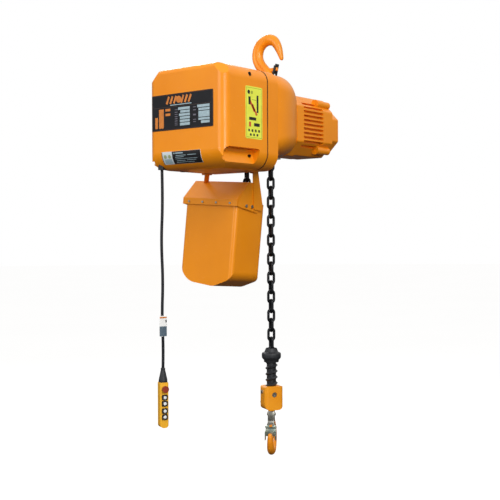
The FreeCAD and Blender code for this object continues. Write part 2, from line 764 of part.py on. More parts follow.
def hook_with_shank(bowl, bar, sign, shank, length, head_radius, head_height):
    """Hook whose shank runs away from the bowl to a round head."""
    arc, tip = hook_body(bowl, bar, sign)
    ring = bowl + bar
    py, pz = latch_pivot(bowl, bar, sign)
    away = sorted((pz, pz - 5 * sign))
    lug = fuse([rod(4.6, -4, py, pz, X_AXIS, 8), box(-4, 4, py, 0, away[0], away[1])])
    z0 = -sign * ring
    axis = V(0, 0, -sign)
    stem = Part.makeCylinder(shank, length, V(0, 0, z0), axis)
    head = Part.makeCylinder(head_radius, head_height, V(0, 0, z0 - sign * length), axis)
    body = fuse([arc, tip, stem, head, lug])
    return body.cut(rod(2.5 + RUN_FIT, -10, py, pz, X_AXIS, 20))


def latch(bowl, bar, sign):
    """Sheet latch on a pin through the hook's lug, closing against the tip."""
    py, pz = latch_pivot(bowl, bar, sign)
    ty, tz = hook_tip(bowl, bar, sign)
    reach = math.hypot(ty, tz)
    # inner side of the tip, where the latch closes
    iy = ty * (reach - bar - 3.2) / reach
    iz = tz * (reach - bar - 3.2) / reach
    length = math.hypot(iy - py, iz - pz)
    angle = math.degrees(math.atan2(iz - pz, iy - py))
    plate = box(-8, 8, 6.2, length + 4, -1.5, 1.5)
    ears = [box(x0, x0 + 3, -4, 8, -4, 4) for x0 in (-8, 5)]
    pin = rod(2.5, -8, 0, 0, X_AXIS, 16)
    shape = fuse([plate, pin] + ears)
    shape.rotate(V(0, 0, 0), X_AXIS, angle)
    shape.translate(V(0, py, pz))
    return shape


TOP_CENTRE = -HOOK_BOWL
LOW_CENTRE = LOW_BOTTOM + LOW_BOWL + 2 * LOW_BAR
TOP_SHANK = TOP_CENTRE - HOOK_BOWL - HOOK_BAR - BRACKET_TOP + 22.3
LOW_HEAD_Z = -1030.0
HEAD_RADIUS = 15.0
HEAD_HEIGHT = 12.0
LOW_SHANK_RADIUS = 9.5
LOW_SHANK = LOW_HEAD_Z - (LOW_CENTRE + LOW_BOWL + LOW_BAR)


def top_hook():
    shape = hook_with_shank(HOOK_BOWL, HOOK_BAR, 1, SHANK, TOP_SHANK, NUT_RADIUS, 14)
    shape.translate(V(0, 0, TOP_CENTRE))
    return shape


def top_latch():
    shape = latch(HOOK_BOWL, HOOK_BAR, 1)
    shape.translate(V(0, 0, TOP_CENTRE))
    return shape


def hook_bracket():
    """Cross bar in the housing that the suspension hook's head hangs under."""
    bar = box(-28, 28, -24, 24, BRACKET_TOP - 22, BRACKET_TOP)
    return bar.cut(rod(SHANK + 0.2, 0, 0, -200, Z_AXIS, 150))


def lower_hook():
    shape = hook_with_shank(LOW_BOWL, LOW_BAR, -1, LOW_SHANK_RADIUS, LOW_SHANK, HEAD_RADIUS, HEAD_HEIGHT)
    shape.translate(V(0, 0, LOW_CENTRE))
    return seat_frame(shape, LOW_TURN, 0, 0)


def lower_latch():
    shape = latch(LOW_BOWL, LOW_BAR, -1)
    shape.translate(V(0, 0, LOW_CENTRE))
    return seat_frame(shape, LOW_TURN, 0, 0)


# Hook block

PIN_Z = STRAND_TOP - PITCH * STRAND_LINKS + PIN_RADIUS + 0.2
CLAMP_X = 21.0
CLAMP_Z = -1020.0
KEEPER_Z = -988.0
KEEPER_RADIUS = 3.5


def block_half(side):
    """One half of the hook block, hollow for the chain's end, the pin and the hook's head."""
    front_view = prism(rectangle(-BLOCK_HALF_WIDTH, BLOCK_HALF_WIDTH, BLOCK_BOTTOM, BLOCK_TOP),
                       [17, 17, 7, 7], on_xz(-BLOCK_HALF_DEPTH), V(0, 2 * BLOCK_HALF_DEPTH, 0))
    plan = prism(rectangle(-BLOCK_HALF_WIDTH, BLOCK_HALF_WIDTH, -BLOCK_HALF_DEPTH, BLOCK_HALF_DEPTH),
                 [11] * 4, on_xy(BLOCK_BOTTOM - 1), V(0, 0, BLOCK_TOP - BLOCK_BOTTOM + 2))
    body = front_view.common(plan)
    half = LINK_WIDTH / 2 + 0.8
    thick = WIRE / 2 + 0.8
    z_end = STRAND_TOP - PITCH * STRAND_LINKS - WIRE - 1
    body = body.cut(box(-half, half, -thick, thick, z_end, BLOCK_TOP + 1))
    body = body.cut(box(-thick, thick, -half, half, BLOCK_TOP - 13, BLOCK_TOP + 1))
    body = body.cut(rod(HEAD_RADIUS + 0.4, 0, 0, LOW_HEAD_Z - 0.3, Z_AXIS, HEAD_HEIGHT + 1))
    body = body.cut(rod(LOW_SHANK_RADIUS + 0.3, 0, 0, BLOCK_BOTTOM - 1, Z_AXIS, 20))
    body = body.cut(rod(PIN_RADIUS + 0.1, 0, -30, PIN_Z, Y_AXIS, 60))
    body = body.cut(rod(7.5, 0, -30, PIN_Z, Y_AXIS, 30 - BLOCK_HALF_DEPTH + 5))
    body = body.cut(rod(KEEPER_RADIUS, -40, 0, KEEPER_Z, X_AXIS, 40 - BLOCK_HALF_WIDTH + 8))
    for x in (-CLAMP_X, CLAMP_X):
        body = body.cut(rod(3, x, -BLOCK_HALF_DEPTH + 6, CLAMP_Z, Y_AXIS, 60))
        body = body.cut(rod(5.5, x, BLOCK_HALF_DEPTH - 5, CLAMP_Z, Y_AXIS, 20))
    if side < 0:
        half_shape = body.common(box(-40, 40, -40, -0.05, BLOCK_BOTTOM - 2, BLOCK_TOP + 2))
    else:
        half_shape = body.common(box(-40, 40, 0.05, 40, BLOCK_BOTTOM - 2, BLOCK_TOP + 2))
    return seat_frame(half_shape, STRAND_TURN, 0, 0)


def block_bolts():
    """Load pin with its head in the front recess, two clamp screws and a keeper screw."""
    pin = rod(PIN_RADIUS, 0, -BLOCK_HALF_DEPTH + 3, PIN_Z, Y_AXIS, 2 * BLOCK_HALF_DEPTH - 4)
    cap = rod(6.5, 0, -BLOCK_HALF_DEPTH + 1.5, PIN_Z, Y_AXIS, 3.4)
    cap = cap.cut(rod(2.4, 0, -BLOCK_HALF_DEPTH, PIN_Z, Y_AXIS, 3.5))
    solids = [fuse([pin, cap])]
    for x in (-CLAMP_X, CLAMP_X):
        shank = rod(2.9, x, -BLOCK_HALF_DEPTH + 6.2, CLAMP_Z, Y_AXIS, 2 * BLOCK_HALF_DEPTH - 10)
        head = rod(5, x, BLOCK_HALF_DEPTH - 4.8, CLAMP_Z, Y_AXIS, 4)
        solids.append(fuse([shank, head]))
    stem = rod(KEEPER_RADIUS - 0.1, -BLOCK_HALF_WIDTH - 1, 0, KEEPER_Z, X_AXIS, 8)
    head = rod(5.5, -BLOCK_HALF_WIDTH - 3.2, 0, KEEPER_Z, X_AXIS, 3.1)
    solids.append(fuse([stem, head]))
    return seat_frame(Part.makeCompound(solids), STRAND_TURN, 0, 0)


BUMPER_COLLAR = 11.0


def bumper():
    """Rubber stop with a cone under its disc and a collar above it, bored for the chain."""
    low = BUMPER_TOP - BUMPER_HEIGHT
    disc = rod(BUMPER_RADIUS, 0, 0, BUMPER_TOP - 17, Z_AXIS, 17)
    cone = Part.makeCone(21, BUMPER_RADIUS, BUMPER_HEIGHT - 17, V(0, 0, low), Z_AXIS)
    collar = Part.makeCone(20, 15.8, BUMPER_COLLAR, V(0, 0, BUMPER_TOP), Z_AXIS)
    bore = rod(LINK_WIDTH / 2 + CHAIN_CLEAR, 0, 0, low - 1, Z_AXIS, BUMPER_HEIGHT + BUMPER_COLLAR + 2)
    return fuse([disc, cone, collar]).cut(bore)


def arc_between(start, tangent, end):
    """Arc from start, leaving along tangent, to end."""
    chord = end - start
    along = chord * (1 / chord.Length)
    cosine = max(-1, min(1, along.dot(tangent)))
    alpha = math.acos(cosine)
    side = tangent - along * cosine
    side.normalize()
    middle = (start + end) * 0.5 + side * (chord.Length / 2 * math.tan(alpha / 2))
    return Part.Arc(start, middle, end).toShape()


def biarc(p0, t0, p1, t1):
    v = p1 - p0
    t = t0 + t1
    spread = 2 * (1 - t0.dot(t1))
    vt = v.dot(t)
    d = (-vt + math.sqrt(vt * vt + spread * v.dot(v))) / spread
    joint = (p0 + p1 + (t0 - t1) * d) * 0.5
    middle = (joint - p0 - t0 * d)
    middle.normalize()
    return [arc_between(p0, t0, joint), arc_between(joint, middle, p1)]


def cushion_spring():
    """Helical spring between the bumper and the block, one unbroken wire."""
    radius = LINK_WIDTH / 2 + SPRING_WIRE / 2 + 0.9
    low = BLOCK_TOP + SPRING_WIRE / 2
    high = BUMPER_TOP - BUMPER_HEIGHT - SPRING_WIRE / 2
    rise = (high - low) / SPRING_TURNS
    steps = 4 * SPRING_TURNS

    def at(i):
        a = math.pi / 2 * i
        return V(radius * math.cos(a), radius * math.sin(a), low + rise * i / 4)

    def heading(i):
        a = math.pi / 2 * i
        t = V(-radius * math.sin(a), radius * math.cos(a), rise / (2 * math.pi))
        t.normalize()
        return t
    edges = []
    for i in range(steps):
        edges += biarc(at(i), heading(i), at(i + 1), heading(i + 1))
    path = Part.Wire(edges)
    section = Part.Wire(Part.makeCircle(SPRING_WIRE / 2, at(0), heading(0)))
    print("spring gap between turns", round(rise - SPRING_WIRE, 2))
    return path.makePipeShell([section], True, False)


# Chain container

def bucket_place(shape):
    """Leans the container about its rim, as it hangs in its straps."""
    pivot = V(BUCKET_FRONT + BUCKET_DEPTH / 2, BUCKET_NEAR + 30, BUCKET_RIM)
    shape.rotate(pivot, X_AXIS, BUCKET_LEAN_Y)
    shape.rotate(pivot, Y_AXIS, BUCKET_LEAN_X)
    return shape


def bucket_shape(inset, top):
    x0, x1 = BUCKET_FRONT + inset, BUCKET_FRONT + BUCKET_DEPTH - inset
    y0, y1 = BUCKET_NEAR + inset, BUCKET_NEAR + BUCKET_WIDTH - inset
    low = BUCKET_RIM - BUCKET_HEIGHT + inset
    front = prism([(y0, top), (y0, low + 26), (y0 + 66, low), (y1, low + 10), (y1, top)],
                  [0, 30 - inset, 40, 62 - inset, 0], on_yz(x0), V(x1 - x0, 0, 0))
    plan = prism(rectangle(x0, x1, y0, y1), [12 - inset] * 4, on_xy(low - 5), V(0, 0, top - low + 10))
    return front.common(plan)


def chain_bucket():
    shell = bucket_shape(0, BUCKET_RIM).cut(bucket_shape(BUCKET_WALL, BUCKET_RIM + 5))
    return bucket_place(shell)


HOOD = 2.0


def hood_outline(grow):
    """Side view of the sheet hood: lip, slanted front and short top."""
    lip = BUCKET_FRONT - HOOD - 4
    z = BUCKET_RIM
    return [(lip - grow, z - 14), (lip - grow, z + 4), (BUCKET_FRONT + 42, z + HOOD_RISE + grow),
            (BUCKET_FRONT + 60, z + HOOD_RISE + grow), (BUCKET_FRONT + 60, z + HOOD_RISE - HOOD),
            (BUCKET_FRONT + 43, z + HOOD_RISE - HOOD), (lip + HOOD, z + 3), (lip + HOOD, z - 14)]


def bucket_hood():
    y0 = BUCKET_NEAR - 3 - HOOD
    y1 = BUCKET_NEAR + BUCKET_WIDTH + 3 + HOOD
    sheet = prism(hood_outline(0), [0] * 8, on_xz(y0), V(0, y1 - y0, 0))
    cheek = [(BUCKET_FRONT - HOOD, BUCKET_RIM - 14), (BUCKET_FRONT - HOOD, BUCKET_RIM + 2),
             (BUCKET_FRONT + 43, BUCKET_RIM + HOOD_RISE - HOOD), (BUCKET_FRONT + 60, BUCKET_RIM + HOOD_RISE),
             (BUCKET_FRONT + 96, BUCKET_RIM - 8), (BUCKET_FRONT + 88, BUCKET_RIM - 26),
             (BUCKET_FRONT + 40, BUCKET_RIM - 20)]
    near = prism(cheek, [0] * 7, on_xz(y0), V(0, HOOD + 2.5, 0))
    far = prism(cheek, [0] * 7, on_xz(y1 - HOOD - 2.5), V(0, HOOD + 2.5, 0))
    return bucket_place(fuse([sheet, near, far]))


STRAP = 3.0
STRAP_X = -39.0
STRAP_Z = -352.0
FAR_STRAP_FOOT = (-48.0, 205.0, BUCKET_RIM + HOOD_RISE + 2)


def bucket_hanger():
    """Two sheet straps that carry the container under the housing."""
    face = BUCKET_NEAR - 3 - HOOD - STRAP
    outline = [(STRAP_X - 11, STRAP_Z), (STRAP_X + 11, STRAP_Z), (12, BUCKET_RIM - 18), (-32, BUCKET_RIM - 18)]
    near = prism(outline, [0, 0, 8, 8], on_xz(face), V(0, STRAP, 0))
    tab = rod(11, STRAP_X, face, STRAP_Z, Y_AXIS, STRAP)
    head = rod(6, STRAP_X, face - 4, STRAP_Z, Y_AXIS, 4)
    near = bucket_place(fuse([near, tab, head]))
    top = Part.makePolygon([V(-114, 148, -368), V(-96, 148, -368), V(-96, 151, -368),
                            V(-114, 151, -368), V(-114, 148, -368)])
    x, y, z = FAR_STRAP_FOOT
    foot = Part.makePolygon([V(x - 9, y - 3, z), V(x + 9, y - 3, z), V(x + 9, y, z),
                             V(x - 9, y, z), V(x - 9, y - 3, z)])
    far = Part.makeLoft([top, foot], True, True).cut(bucket_hood())
    return Part.makeCompound([near, far])


def bucket_fasteners():
    """Four rivets along the hood's lip and two bolts on its near cheek."""
    solids = []
    for i in range(4):
        y = BUCKET_NEAR + 20 + i * (BUCKET_WIDTH - 40) / 3
        head = rod(3.2, BUCKET_FRONT - HOOD - 6.4, y, BUCKET_RIM - 6, X_AXIS, 2.3)
        solids.append(bucket_place(head))
    for x in (-66, -40):
        head = rod(4.5, x, BUCKET_NEAR - 5 - HOOD - 1.6, BUCKET_RIM - 10, Y_AXIS, 3)
        solids.append(bucket_place(head))
    return Part.makeCompound(solids)


# Pendant

CABLE_ROUTE = (
    (0.0, 0.0, CABLE_TOP - 4.3),
    (1.5, -1.0, -452.0),
    (-2.0, 2.5, -556.0),
    (1.5, -0.5, -664.0),
    (-1.5, 1.5, -762.0),
    (1.0, -1.0, -846.0),
    (0.0, 0.0, BOOT_TOP + 0.15),
)


def tube_along(points, diameter):
    """Straight runs joined by tangent arcs, swept with a round section."""
    pts = [V(*p) for p in points]
    edges = []
    here = pts[0]
    radii = []
    for i in range(1, len(pts) - 1):
        a = pts[i - 1] - pts[i]
        b = pts[i + 1] - pts[i]
        reach = 0.45 * min(a.Length, b.Length)
        a.normalize()
        b.normalize()
        half_turn = (math.pi - a.getAngle(b)) / 2
        radius = reach / math.tan(half_turn)
        radii.append(round(radius))
        start = pts[i] + a * reach
        end = pts[i] + b * reach
        toward = (a + b)
        toward.normalize()
        middle = pts[i] + toward * (radius / math.cos(half_turn) - radius)
        edges.append(Part.LineSegment(here, start).toShape())
        edges.append(Part.Arc(start, middle, end).toShape())
        here = end
    edges.append(Part.LineSegment(here, pts[-1]).toShape())
    path = Part.Wire(edges)
    heading = pts[1] - pts[0]
    section = Part.Wire(Part.makeCircle(diameter / 2, pts[0], heading))
    shape = path.makePipeShell([section], True, False)
    area = math.pi * diameter ** 2 / 4
    print("cable arc radii", radii, "length", round(path.Length, 1),
          "volume error", round(shape.Volume / (area * path.Length) - 1, 5))
    return shape


def cable_points():
    return [(GLAND_X + x, GLAND_Y + y, z) for x, y, z in CABLE_ROUTE]


def pendant_cable():
    return tube_along(cable_points(), CABLE)


TAG_Z = -788.0
TAG_SHIFT = -0.7


def cable_tag():
    """Card wrapped round the cable."""
    card = box(-10.5, 10.5, -CABLE / 2 - 3.4, -CABLE / 2 - 2.6, TAG_Z - 28, TAG_Z + 28)
    clip = tube(CABLE / 2 + 2.8, CABLE / 2 + 0.9, 0, 0, TAG_Z + 12, Z_AXIS, 8)
    return seat_frame(fuse([card, clip]), PENDANT_TURN, GLAND_X + TAG_SHIFT, GLAND_Y - TAG_SHIFT)


def pendant_boot():
    height = BOOT_TOP - PENDANT_TOP
    body = Part.makeCone(12.3, 5.2, height, V(0, 0, PENDANT_TOP), Z_AXIS)
    return seat_frame(body, PENDANT_TURN, GLAND_X, GLAND_Y)


def pendant_shell():
    w, d = PENDANT_WIDTH / 2, PENDANT_DEPTH / 2
    low = PENDANT_TOP - PENDANT_HEIGHT
    front_view = prism(rectangle(-w, w, low, PENDANT_TOP), [11, 11, 3, 3], on_xz(-d), V(0, 2 * d, 0))
    plan = prism(rectangle(-w, w, -d, d), [5] * 4, on_xy(low - 1), V(0, 0, PENDANT_HEIGHT + 2))
    outer = front_view.common(plan)
    wall = 2.2
    inner_front = prism(rectangle(-w + wall, w - wall, low + wall, PENDANT_TOP - wall),
                        [8, 8, 2, 2], on_xz(-d + wall), V(0, 2 * d - 2 * wall, 0))
    return outer.cut(inner_front)


def button_hole(drop):
    half = BUTTON / 2 + SLIDE_GAP
    wide = BUTTON_WIDTH / 2 + SLIDE_GAP
    z = PENDANT_TOP - drop
    return prism(rectangle(-wide, wide, z - half, z + half), [3] * 4, on_xz(-40), V(0, 40, 0))


STOP_DROP = 17.5
STOP_RADIUS = 9.0


def pendant_front():
    shell = pendant_shell().common(box(-40, 40, -40, -0.05, PENDANT_TOP - 200, PENDANT_TOP + 1))
    for drop in BUTTON_DROPS:
        shell = shell.cut(button_hole(drop))
    stop = rod(6 + SLIDE_GAP, 0, -40, PENDANT_TOP - STOP_DROP, Y_AXIS, 39)
    return seat_frame(shell.cut(stop), PENDANT_TURN, GLAND_X, GLAND_Y)


def pendant_back():
    shell = pendant_shell().common(box(-40, 40, 0.05, 40, PENDANT_TOP - 200, PENDANT_TOP + 1))
    return seat_frame(shell, PENDANT_TURN, GLAND_X, GLAND_Y)


def push_button(drop):
    half = BUTTON / 2
    wide = BUTTON_WIDTH / 2
    z = PENDANT_TOP - drop
    face = -PENDANT_DEPTH / 2 - BUTTON_TRAVEL - 0.5
    cap = prism(rectangle(-wide, wide, z - half, z + half), [2.5] * 4, on_xz(face), V(0, 11, 0))
    return seat_frame(cap, PENDANT_TURN, GLAND_X, GLAND_Y)


def stop_button():
    z = PENDANT_TOP - STOP_DROP
    face = -PENDANT_DEPTH / 2
    stem = rod(6, 0, face - 4, z, Y_AXIS, 14)
    head = rod(STOP_RADIUS, 0, face - 11, z, Y_AXIS, 7)
    return seat_frame(fuse([stem, head]), PENDANT_TURN, GLAND_X, GLAND_Y)


NODES = {
    "control_cover": control_cover,
    "cover_seal": cover_seal,
    "cover_screws": cover_screws,
    "body_casting": body_casting,
    "gear_case_cover": gear_case_cover,
    "chain_guide": chain_guide,
    "limit_lever": limit_lever,
    "limit_switch": limit_switch,
    "bearings": bearings,
    "motor_housing": motor_housing,
    "stator_core": stator_core,
    "stator_windings": stator_windings,
    "rear_cover": rear_cover,
    "rear_cover_screws": rear_cover_screws,
    "brake_coil": brake_coil,
    "brake_armature": brake_armature,
    "brake_disc": brake_disc,
    "motor_shaft": motor_shaft,
    "rotor_core": rotor_core,
    "intermediate_shaft": intermediate_shaft,
    "intermediate_gear": intermediate_gear,
    "load_gear": load_gear,
    "load_sheave": load_sheave,
    "chain_on_sheave": chain_on_sheave,
    "load_chain_upper": lambda: strand(0, 0, HELD_LINKS),
    "load_chain_middle": lambda: strand(0, HELD_LINKS, HELD_LINKS + MIDDLE_LINKS),
    "load_chain_lower": lambda: strand(0, HELD_LINKS + MIDDLE_LINKS, STRAND_LINKS),
    "slack_chain": lambda: strand(SLACK_Y, 0, SLACK_LINKS),
    "contactors": contactors,
    "transformer": transformer,
    "terminal_block": terminal_block,
    "pendant_gland": pendant_gland,
    "power_inlet": power_inlet,
    "rating_plate": rating_plate,
    "lower_label": lower_label,
    "side_label": side_label,
    "hook_bracket": hook_bracket,
    "top_hook": top_hook,
    "top_latch": top_latch,
    "block_front": lambda: block_half(-1),
    "block_back": lambda: block_half(1),
    "block_bolts": block_bolts,
    "bumper": bumper,
    "cushion_spring": cushion_spring,
    "lower_hook": lower_hook,
    "lower_latch": lower_latch,
    "chain_bucket": chain_bucket,
    "bucket_hood": bucket_hood,
    "bucket_hanger": bucket_hanger,
    "bucket_fasteners": bucket_fasteners,
    "pendant_cable": pendant_cable,
    "cable_tag": cable_tag,
    "pendant_boot": pendant_boot,
    "pendant_front": pendant_front,
    "pendant_back": pendant_back,
    "stop_button": stop_button,
    "button_raise": lambda: push_button(BUTTON_DROPS[0]),
    "button_lower": lambda: push_button(BUTTON_DROPS[1]),
    "button_left": lambda: push_button(BUTTON_DROPS[2]),
    "button_right": lambda: push_button(BUTTON_DROPS[3]),
}

os.makedirs("parts", exist_ok=True)
for name, make in NODES.items():
    shape = make()
    if not shape.isValid():
        print("not valid", name)
    print(name, len(shape.Solids), round(shape.Volume / 1000, 1))
    shape.exportStep("parts/" + name + ".step")
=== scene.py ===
# %% [markdown]
# # Electric chain hoist
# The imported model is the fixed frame: its bodies, its nodes and its record. Each later cell adds
# finishes, or pieces that show more than the construction model does. Lengths are metres, apart from
# the stations of the hooks and the plates of the upper latch, which are millimetres.

# %% Load the frame
import bpy
import json
import math
from mathutils import Matrix, Vector


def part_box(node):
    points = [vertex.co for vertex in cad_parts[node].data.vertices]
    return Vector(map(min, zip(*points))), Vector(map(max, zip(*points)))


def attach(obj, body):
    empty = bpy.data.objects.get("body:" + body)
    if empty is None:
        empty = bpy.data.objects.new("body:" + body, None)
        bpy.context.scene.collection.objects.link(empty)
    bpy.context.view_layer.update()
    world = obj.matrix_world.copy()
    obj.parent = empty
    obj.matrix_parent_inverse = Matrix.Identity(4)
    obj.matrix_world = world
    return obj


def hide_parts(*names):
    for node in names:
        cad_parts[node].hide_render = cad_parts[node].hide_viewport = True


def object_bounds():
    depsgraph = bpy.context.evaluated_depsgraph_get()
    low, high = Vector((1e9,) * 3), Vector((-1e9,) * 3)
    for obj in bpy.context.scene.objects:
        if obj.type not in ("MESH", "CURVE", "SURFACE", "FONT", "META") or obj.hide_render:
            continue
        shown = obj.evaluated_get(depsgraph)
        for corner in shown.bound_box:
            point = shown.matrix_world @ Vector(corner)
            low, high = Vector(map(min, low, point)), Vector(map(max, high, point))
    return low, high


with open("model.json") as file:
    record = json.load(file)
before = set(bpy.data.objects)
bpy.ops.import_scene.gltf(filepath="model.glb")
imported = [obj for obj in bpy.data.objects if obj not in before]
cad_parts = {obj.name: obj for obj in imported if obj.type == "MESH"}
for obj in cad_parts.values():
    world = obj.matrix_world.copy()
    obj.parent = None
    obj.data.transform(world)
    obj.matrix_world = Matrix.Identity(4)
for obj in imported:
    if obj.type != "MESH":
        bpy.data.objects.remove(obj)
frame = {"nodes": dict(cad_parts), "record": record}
CAD_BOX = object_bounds()
print("the frame's box", [[round(value, 3) for value in corner] for corner in CAD_BOX])

# %% [markdown]
# ## Camera
# The photograph looks at the control box from its front corner, level with the middle of the hoist.
# A camera can be turned by angles or by its three axes. Here three angles say where it looks and how
# it is tipped, and the axes that follow from them fill its matrix: right, up and backwards.

# %% Camera
EYE = Vector((-2.17454, -1.67326, -0.55128))
LOOK_YAW = math.radians(38.83)
LOOK_PITCH = math.radians(-0.67)
LOOK_ROLL = math.radians(0.23)
FOCAL_PIXELS = 958.65
PICTURE_PIXELS = 500
SENSOR = 36.0

forward = Vector((math.cos(LOOK_YAW) * math.cos(LOOK_PITCH),
                  math.sin(LOOK_YAW) * math.cos(LOOK_PITCH), math.sin(LOOK_PITCH)))
level_right = Vector((math.sin(LOOK_YAW), -math.cos(LOOK_YAW), 0))
level_up = level_right.cross(forward)
right = level_right * math.cos(LOOK_ROLL) - level_up * math.sin(LOOK_ROLL)
up = level_right * math.sin(LOOK_ROLL) + level_up * math.cos(LOOK_ROLL)

camera_data = bpy.data.cameras.new("camera")
camera_data.sensor_width = SENSOR
camera_data.lens = FOCAL_PIXELS / PICTURE_PIXELS * SENSOR
camera_data.clip_end = 100
camera = bpy.data.objects.new("camera", camera_data)
camera.matrix_world = Matrix.Translation(EYE) @ Matrix((right, up, -forward)).transposed().to_4x4()
bpy.context.scene.collection.objects.link(camera)
bpy.context.scene.camera = camera
print("lens", round(camera_data.lens, 1), "mm")

# %% [markdown]
# ## Helpers for modelling by hand
# An operator acts on everything that is selected, so each step starts with nothing selected.
# A finished piece gets its place baked into its mesh, one finish, and a body that carries it.
# The finishes are made further down, so a piece only notes the name of its finish here.

# %% Selecting and settling
pieces_to_finish = []


def nothing_selected():
    """Leaves edit mode and deselects all."""
    if bpy.context.object and bpy.context.object.mode != "OBJECT":
        bpy.ops.object.mode_set(mode="OBJECT")
    bpy.ops.object.select_all(action="DESELECT")


def only(piece):
    """Selects one piece and makes it the active one."""
    nothing_selected()
    piece.select_set(True)
    bpy.context.view_layer.objects.active = piece


def settle(piece, name, body, slot, nodes=(), finish=None):
    """Bakes the place of a piece, names it, and says what it rides on and what it stands for."""
    only(piece)
    bpy.ops.object.transform_apply(location=True, rotation=True, scale=True)
    piece.name = name
    piece.data.name = name
    pieces_to_finish.append((piece, finish or slot))
    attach(piece, body)
    if nodes:
        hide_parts(*nodes)
    if piece.type == "MESH":
        print(name, len(piece.data.polygons), "faces")
    return piece


def stand(piece, turn, x, y):
    """Turns a piece about Z and moves it, as the hanging pieces are turned on the real hoist."""
    piece.rotation_euler.z = math.radians(turn)
    piece.location.x = x
    piece.location.y = y


def use_modifier(piece, kind, **settings):
    """Adds a modifier with its settings and applies it at once."""
    only(piece)
    modifier = piece.modifiers.new(kind, kind)
    for key, value in settings.items():
        setattr(modifier, key, value)
    bpy.ops.object.modifier_apply(modifier=modifier.name)


def smooth_sides(piece, angle=40):
    """Shades faces as one surface where they meet at less than the angle."""
    only(piece)
    bpy.ops.object.shade_smooth_by_angle(angle=math.radians(angle))


def outward(piece):
    """Merges doubles and points every face outwards."""
    only(piece)
    bpy.ops.object.mode_set(mode="EDIT")
    bpy.ops.mesh.select_all(action="SELECT")
    bpy.ops.mesh.remove_doubles(threshold=1e-6)
    bpy.ops.mesh.normals_make_consistent(inside=False)
    bpy.ops.object.mode_set(mode="OBJECT")


# %% [markdown]
# ## Turned shapes and plates
# A turned shape starts as one ring of points. Each next ring is an extrusion that is lifted and then
# scaled about the axis, which is how a turned part grows in edit mode. A plate starts as a cube that is
# scaled and bevelled. A piece of several shapes is joined at the end, so that it is one mesh.

# %% Turned shapes and plates
def turned(rings, sides=64):
    """Rings are (radius, height) from end to end; a last ring equal to the first closes a tube."""
    nothing_selected()
    closed = rings[0] == rings[-1]
    radius, height = rings[0]
    fill = "NOTHING" if closed else "NGON"
    bpy.ops.mesh.primitive_circle_add(vertices=sides, radius=radius, fill_type=fill,
                                      location=(0, 0, height))
    piece = bpy.context.object
    bpy.ops.object.mode_set(mode="EDIT")
    bpy.ops.mesh.select_all(action="SELECT")
    for wide, high in rings[1:]:
        bpy.ops.mesh.extrude_region_move(TRANSFORM_OT_translate={"value": (0, 0, high - height)})
        bpy.ops.transform.resize(value=(wide / radius, wide / radius, 1), center_override=(0, 0, high))
        radius, height = wide, high
    bpy.ops.object.mode_set(mode="OBJECT")
    outward(piece)
    return piece


def block(low, high, bevel, segments=3):
    """A box between two corners with its edges rounded."""
    nothing_selected()
    low, high = Vector(low), Vector(high)
    bpy.ops.mesh.primitive_cube_add(size=1, location=(low + high) / 2)
    piece = bpy.context.object
    piece.scale = high - low
    bpy.ops.object.transform_apply(location=False, rotation=False, scale=True)
    bpy.ops.object.mode_set(mode="EDIT")
    bpy.ops.mesh.select_all(action="SELECT")
    bpy.ops.mesh.bevel(offset=bevel, segments=segments)
    bpy.ops.object.mode_set(mode="OBJECT")
    return piece


def joined(pieces):
    """Makes one piece of several, which takes the place of the first."""
    only(pieces[0])
    for piece in pieces:
        piece.select_set(True)
    if len(pieces) > 1:
        bpy.ops.object.join()
    return bpy.context.object


# %% [markdown]
# ## The pendant cable
# A round black cable hangs from the gland under the control box to the pendant. It is one smooth
# spline through a few given points, nearly plumb, because the pendant's weight pulls it straight.
# Its thickness comes from the radius of the points, so that its box is no larger than the cable.

# %% Pendant cable
GLAND_X, GLAND_Y = -0.290, 0.150
CABLE = 0.008
CABLE_ROUTE = ((0.0, 0.0, -0.3633), (0.0015, -0.001, -0.452), (-0.002, 0.0025, -0.556),
               (0.0015, -0.0005, -0.664), (-0.0015, 0.0015, -0.762), (0.001, -0.001, -0.846),
               (0.0, 0.0, -0.90185))

curve = bpy.data.curves.new("pendant_cord", "CURVE")
curve.dimensions = "3D"
curve.bevel_depth = 1
curve.bevel_resolution = 5
curve.resolution_u = 16
curve.use_fill_caps = True
spline = curve.splines.new("NURBS")
spline.points.add(len(CABLE_ROUTE) - 1)
for point, (x, y, z) in zip(spline.points, CABLE_ROUTE):
    point.co = (GLAND_X + x, GLAND_Y + y, z, 1)
    point.radius = CABLE / 2
spline.order_u = 3
spline.use_endpoint_u = True
cable = bpy.data.objects.new("pendant_cord", curve)
bpy.context.scene.collection.objects.link(cable)
settle(cable, "pendant_cord", "pendant", "cable_sheath", ["pendant_cable"])

# %% [markdown]
# ## Cable tag
# A laminated card is clipped round the cable above the pendant. It is a thin rounded box, subdivided
# and curled a little, with its printed areas as thin films in front of it.

# %% Cable tag
PENDANT_TURN = -27.0
TAG_SHIFT = -0.0007
TAG_LOW, TAG_HIGH = -0.816, -0.760
TAG_HALF = 0.0105
TAG_THICK = 0.0008
TAG_FRONT = -0.0074
TAG_CURL = 6.0
TAG_EDGE = 0.0002
TAG_INK = 0.0002
TAG_PRINTS = {"tag_print_dark": (-0.0102, 0.0102, TAG_LOW + 0.0006, -0.7885, "tag_print"),
              "tag_print_bar": (-0.0098, 0.0098, -0.7665, -0.7625, "orange_print"),
              "tag_print_mark": (0.0062, 0.0098, -0.778, -0.7705, "black_print")}


def curl(piece, amount):
    """Bends a flat card backwards towards its sides."""
    for vertex in piece.data.vertices:
        vertex.co.y += amount * vertex.co.x ** 2


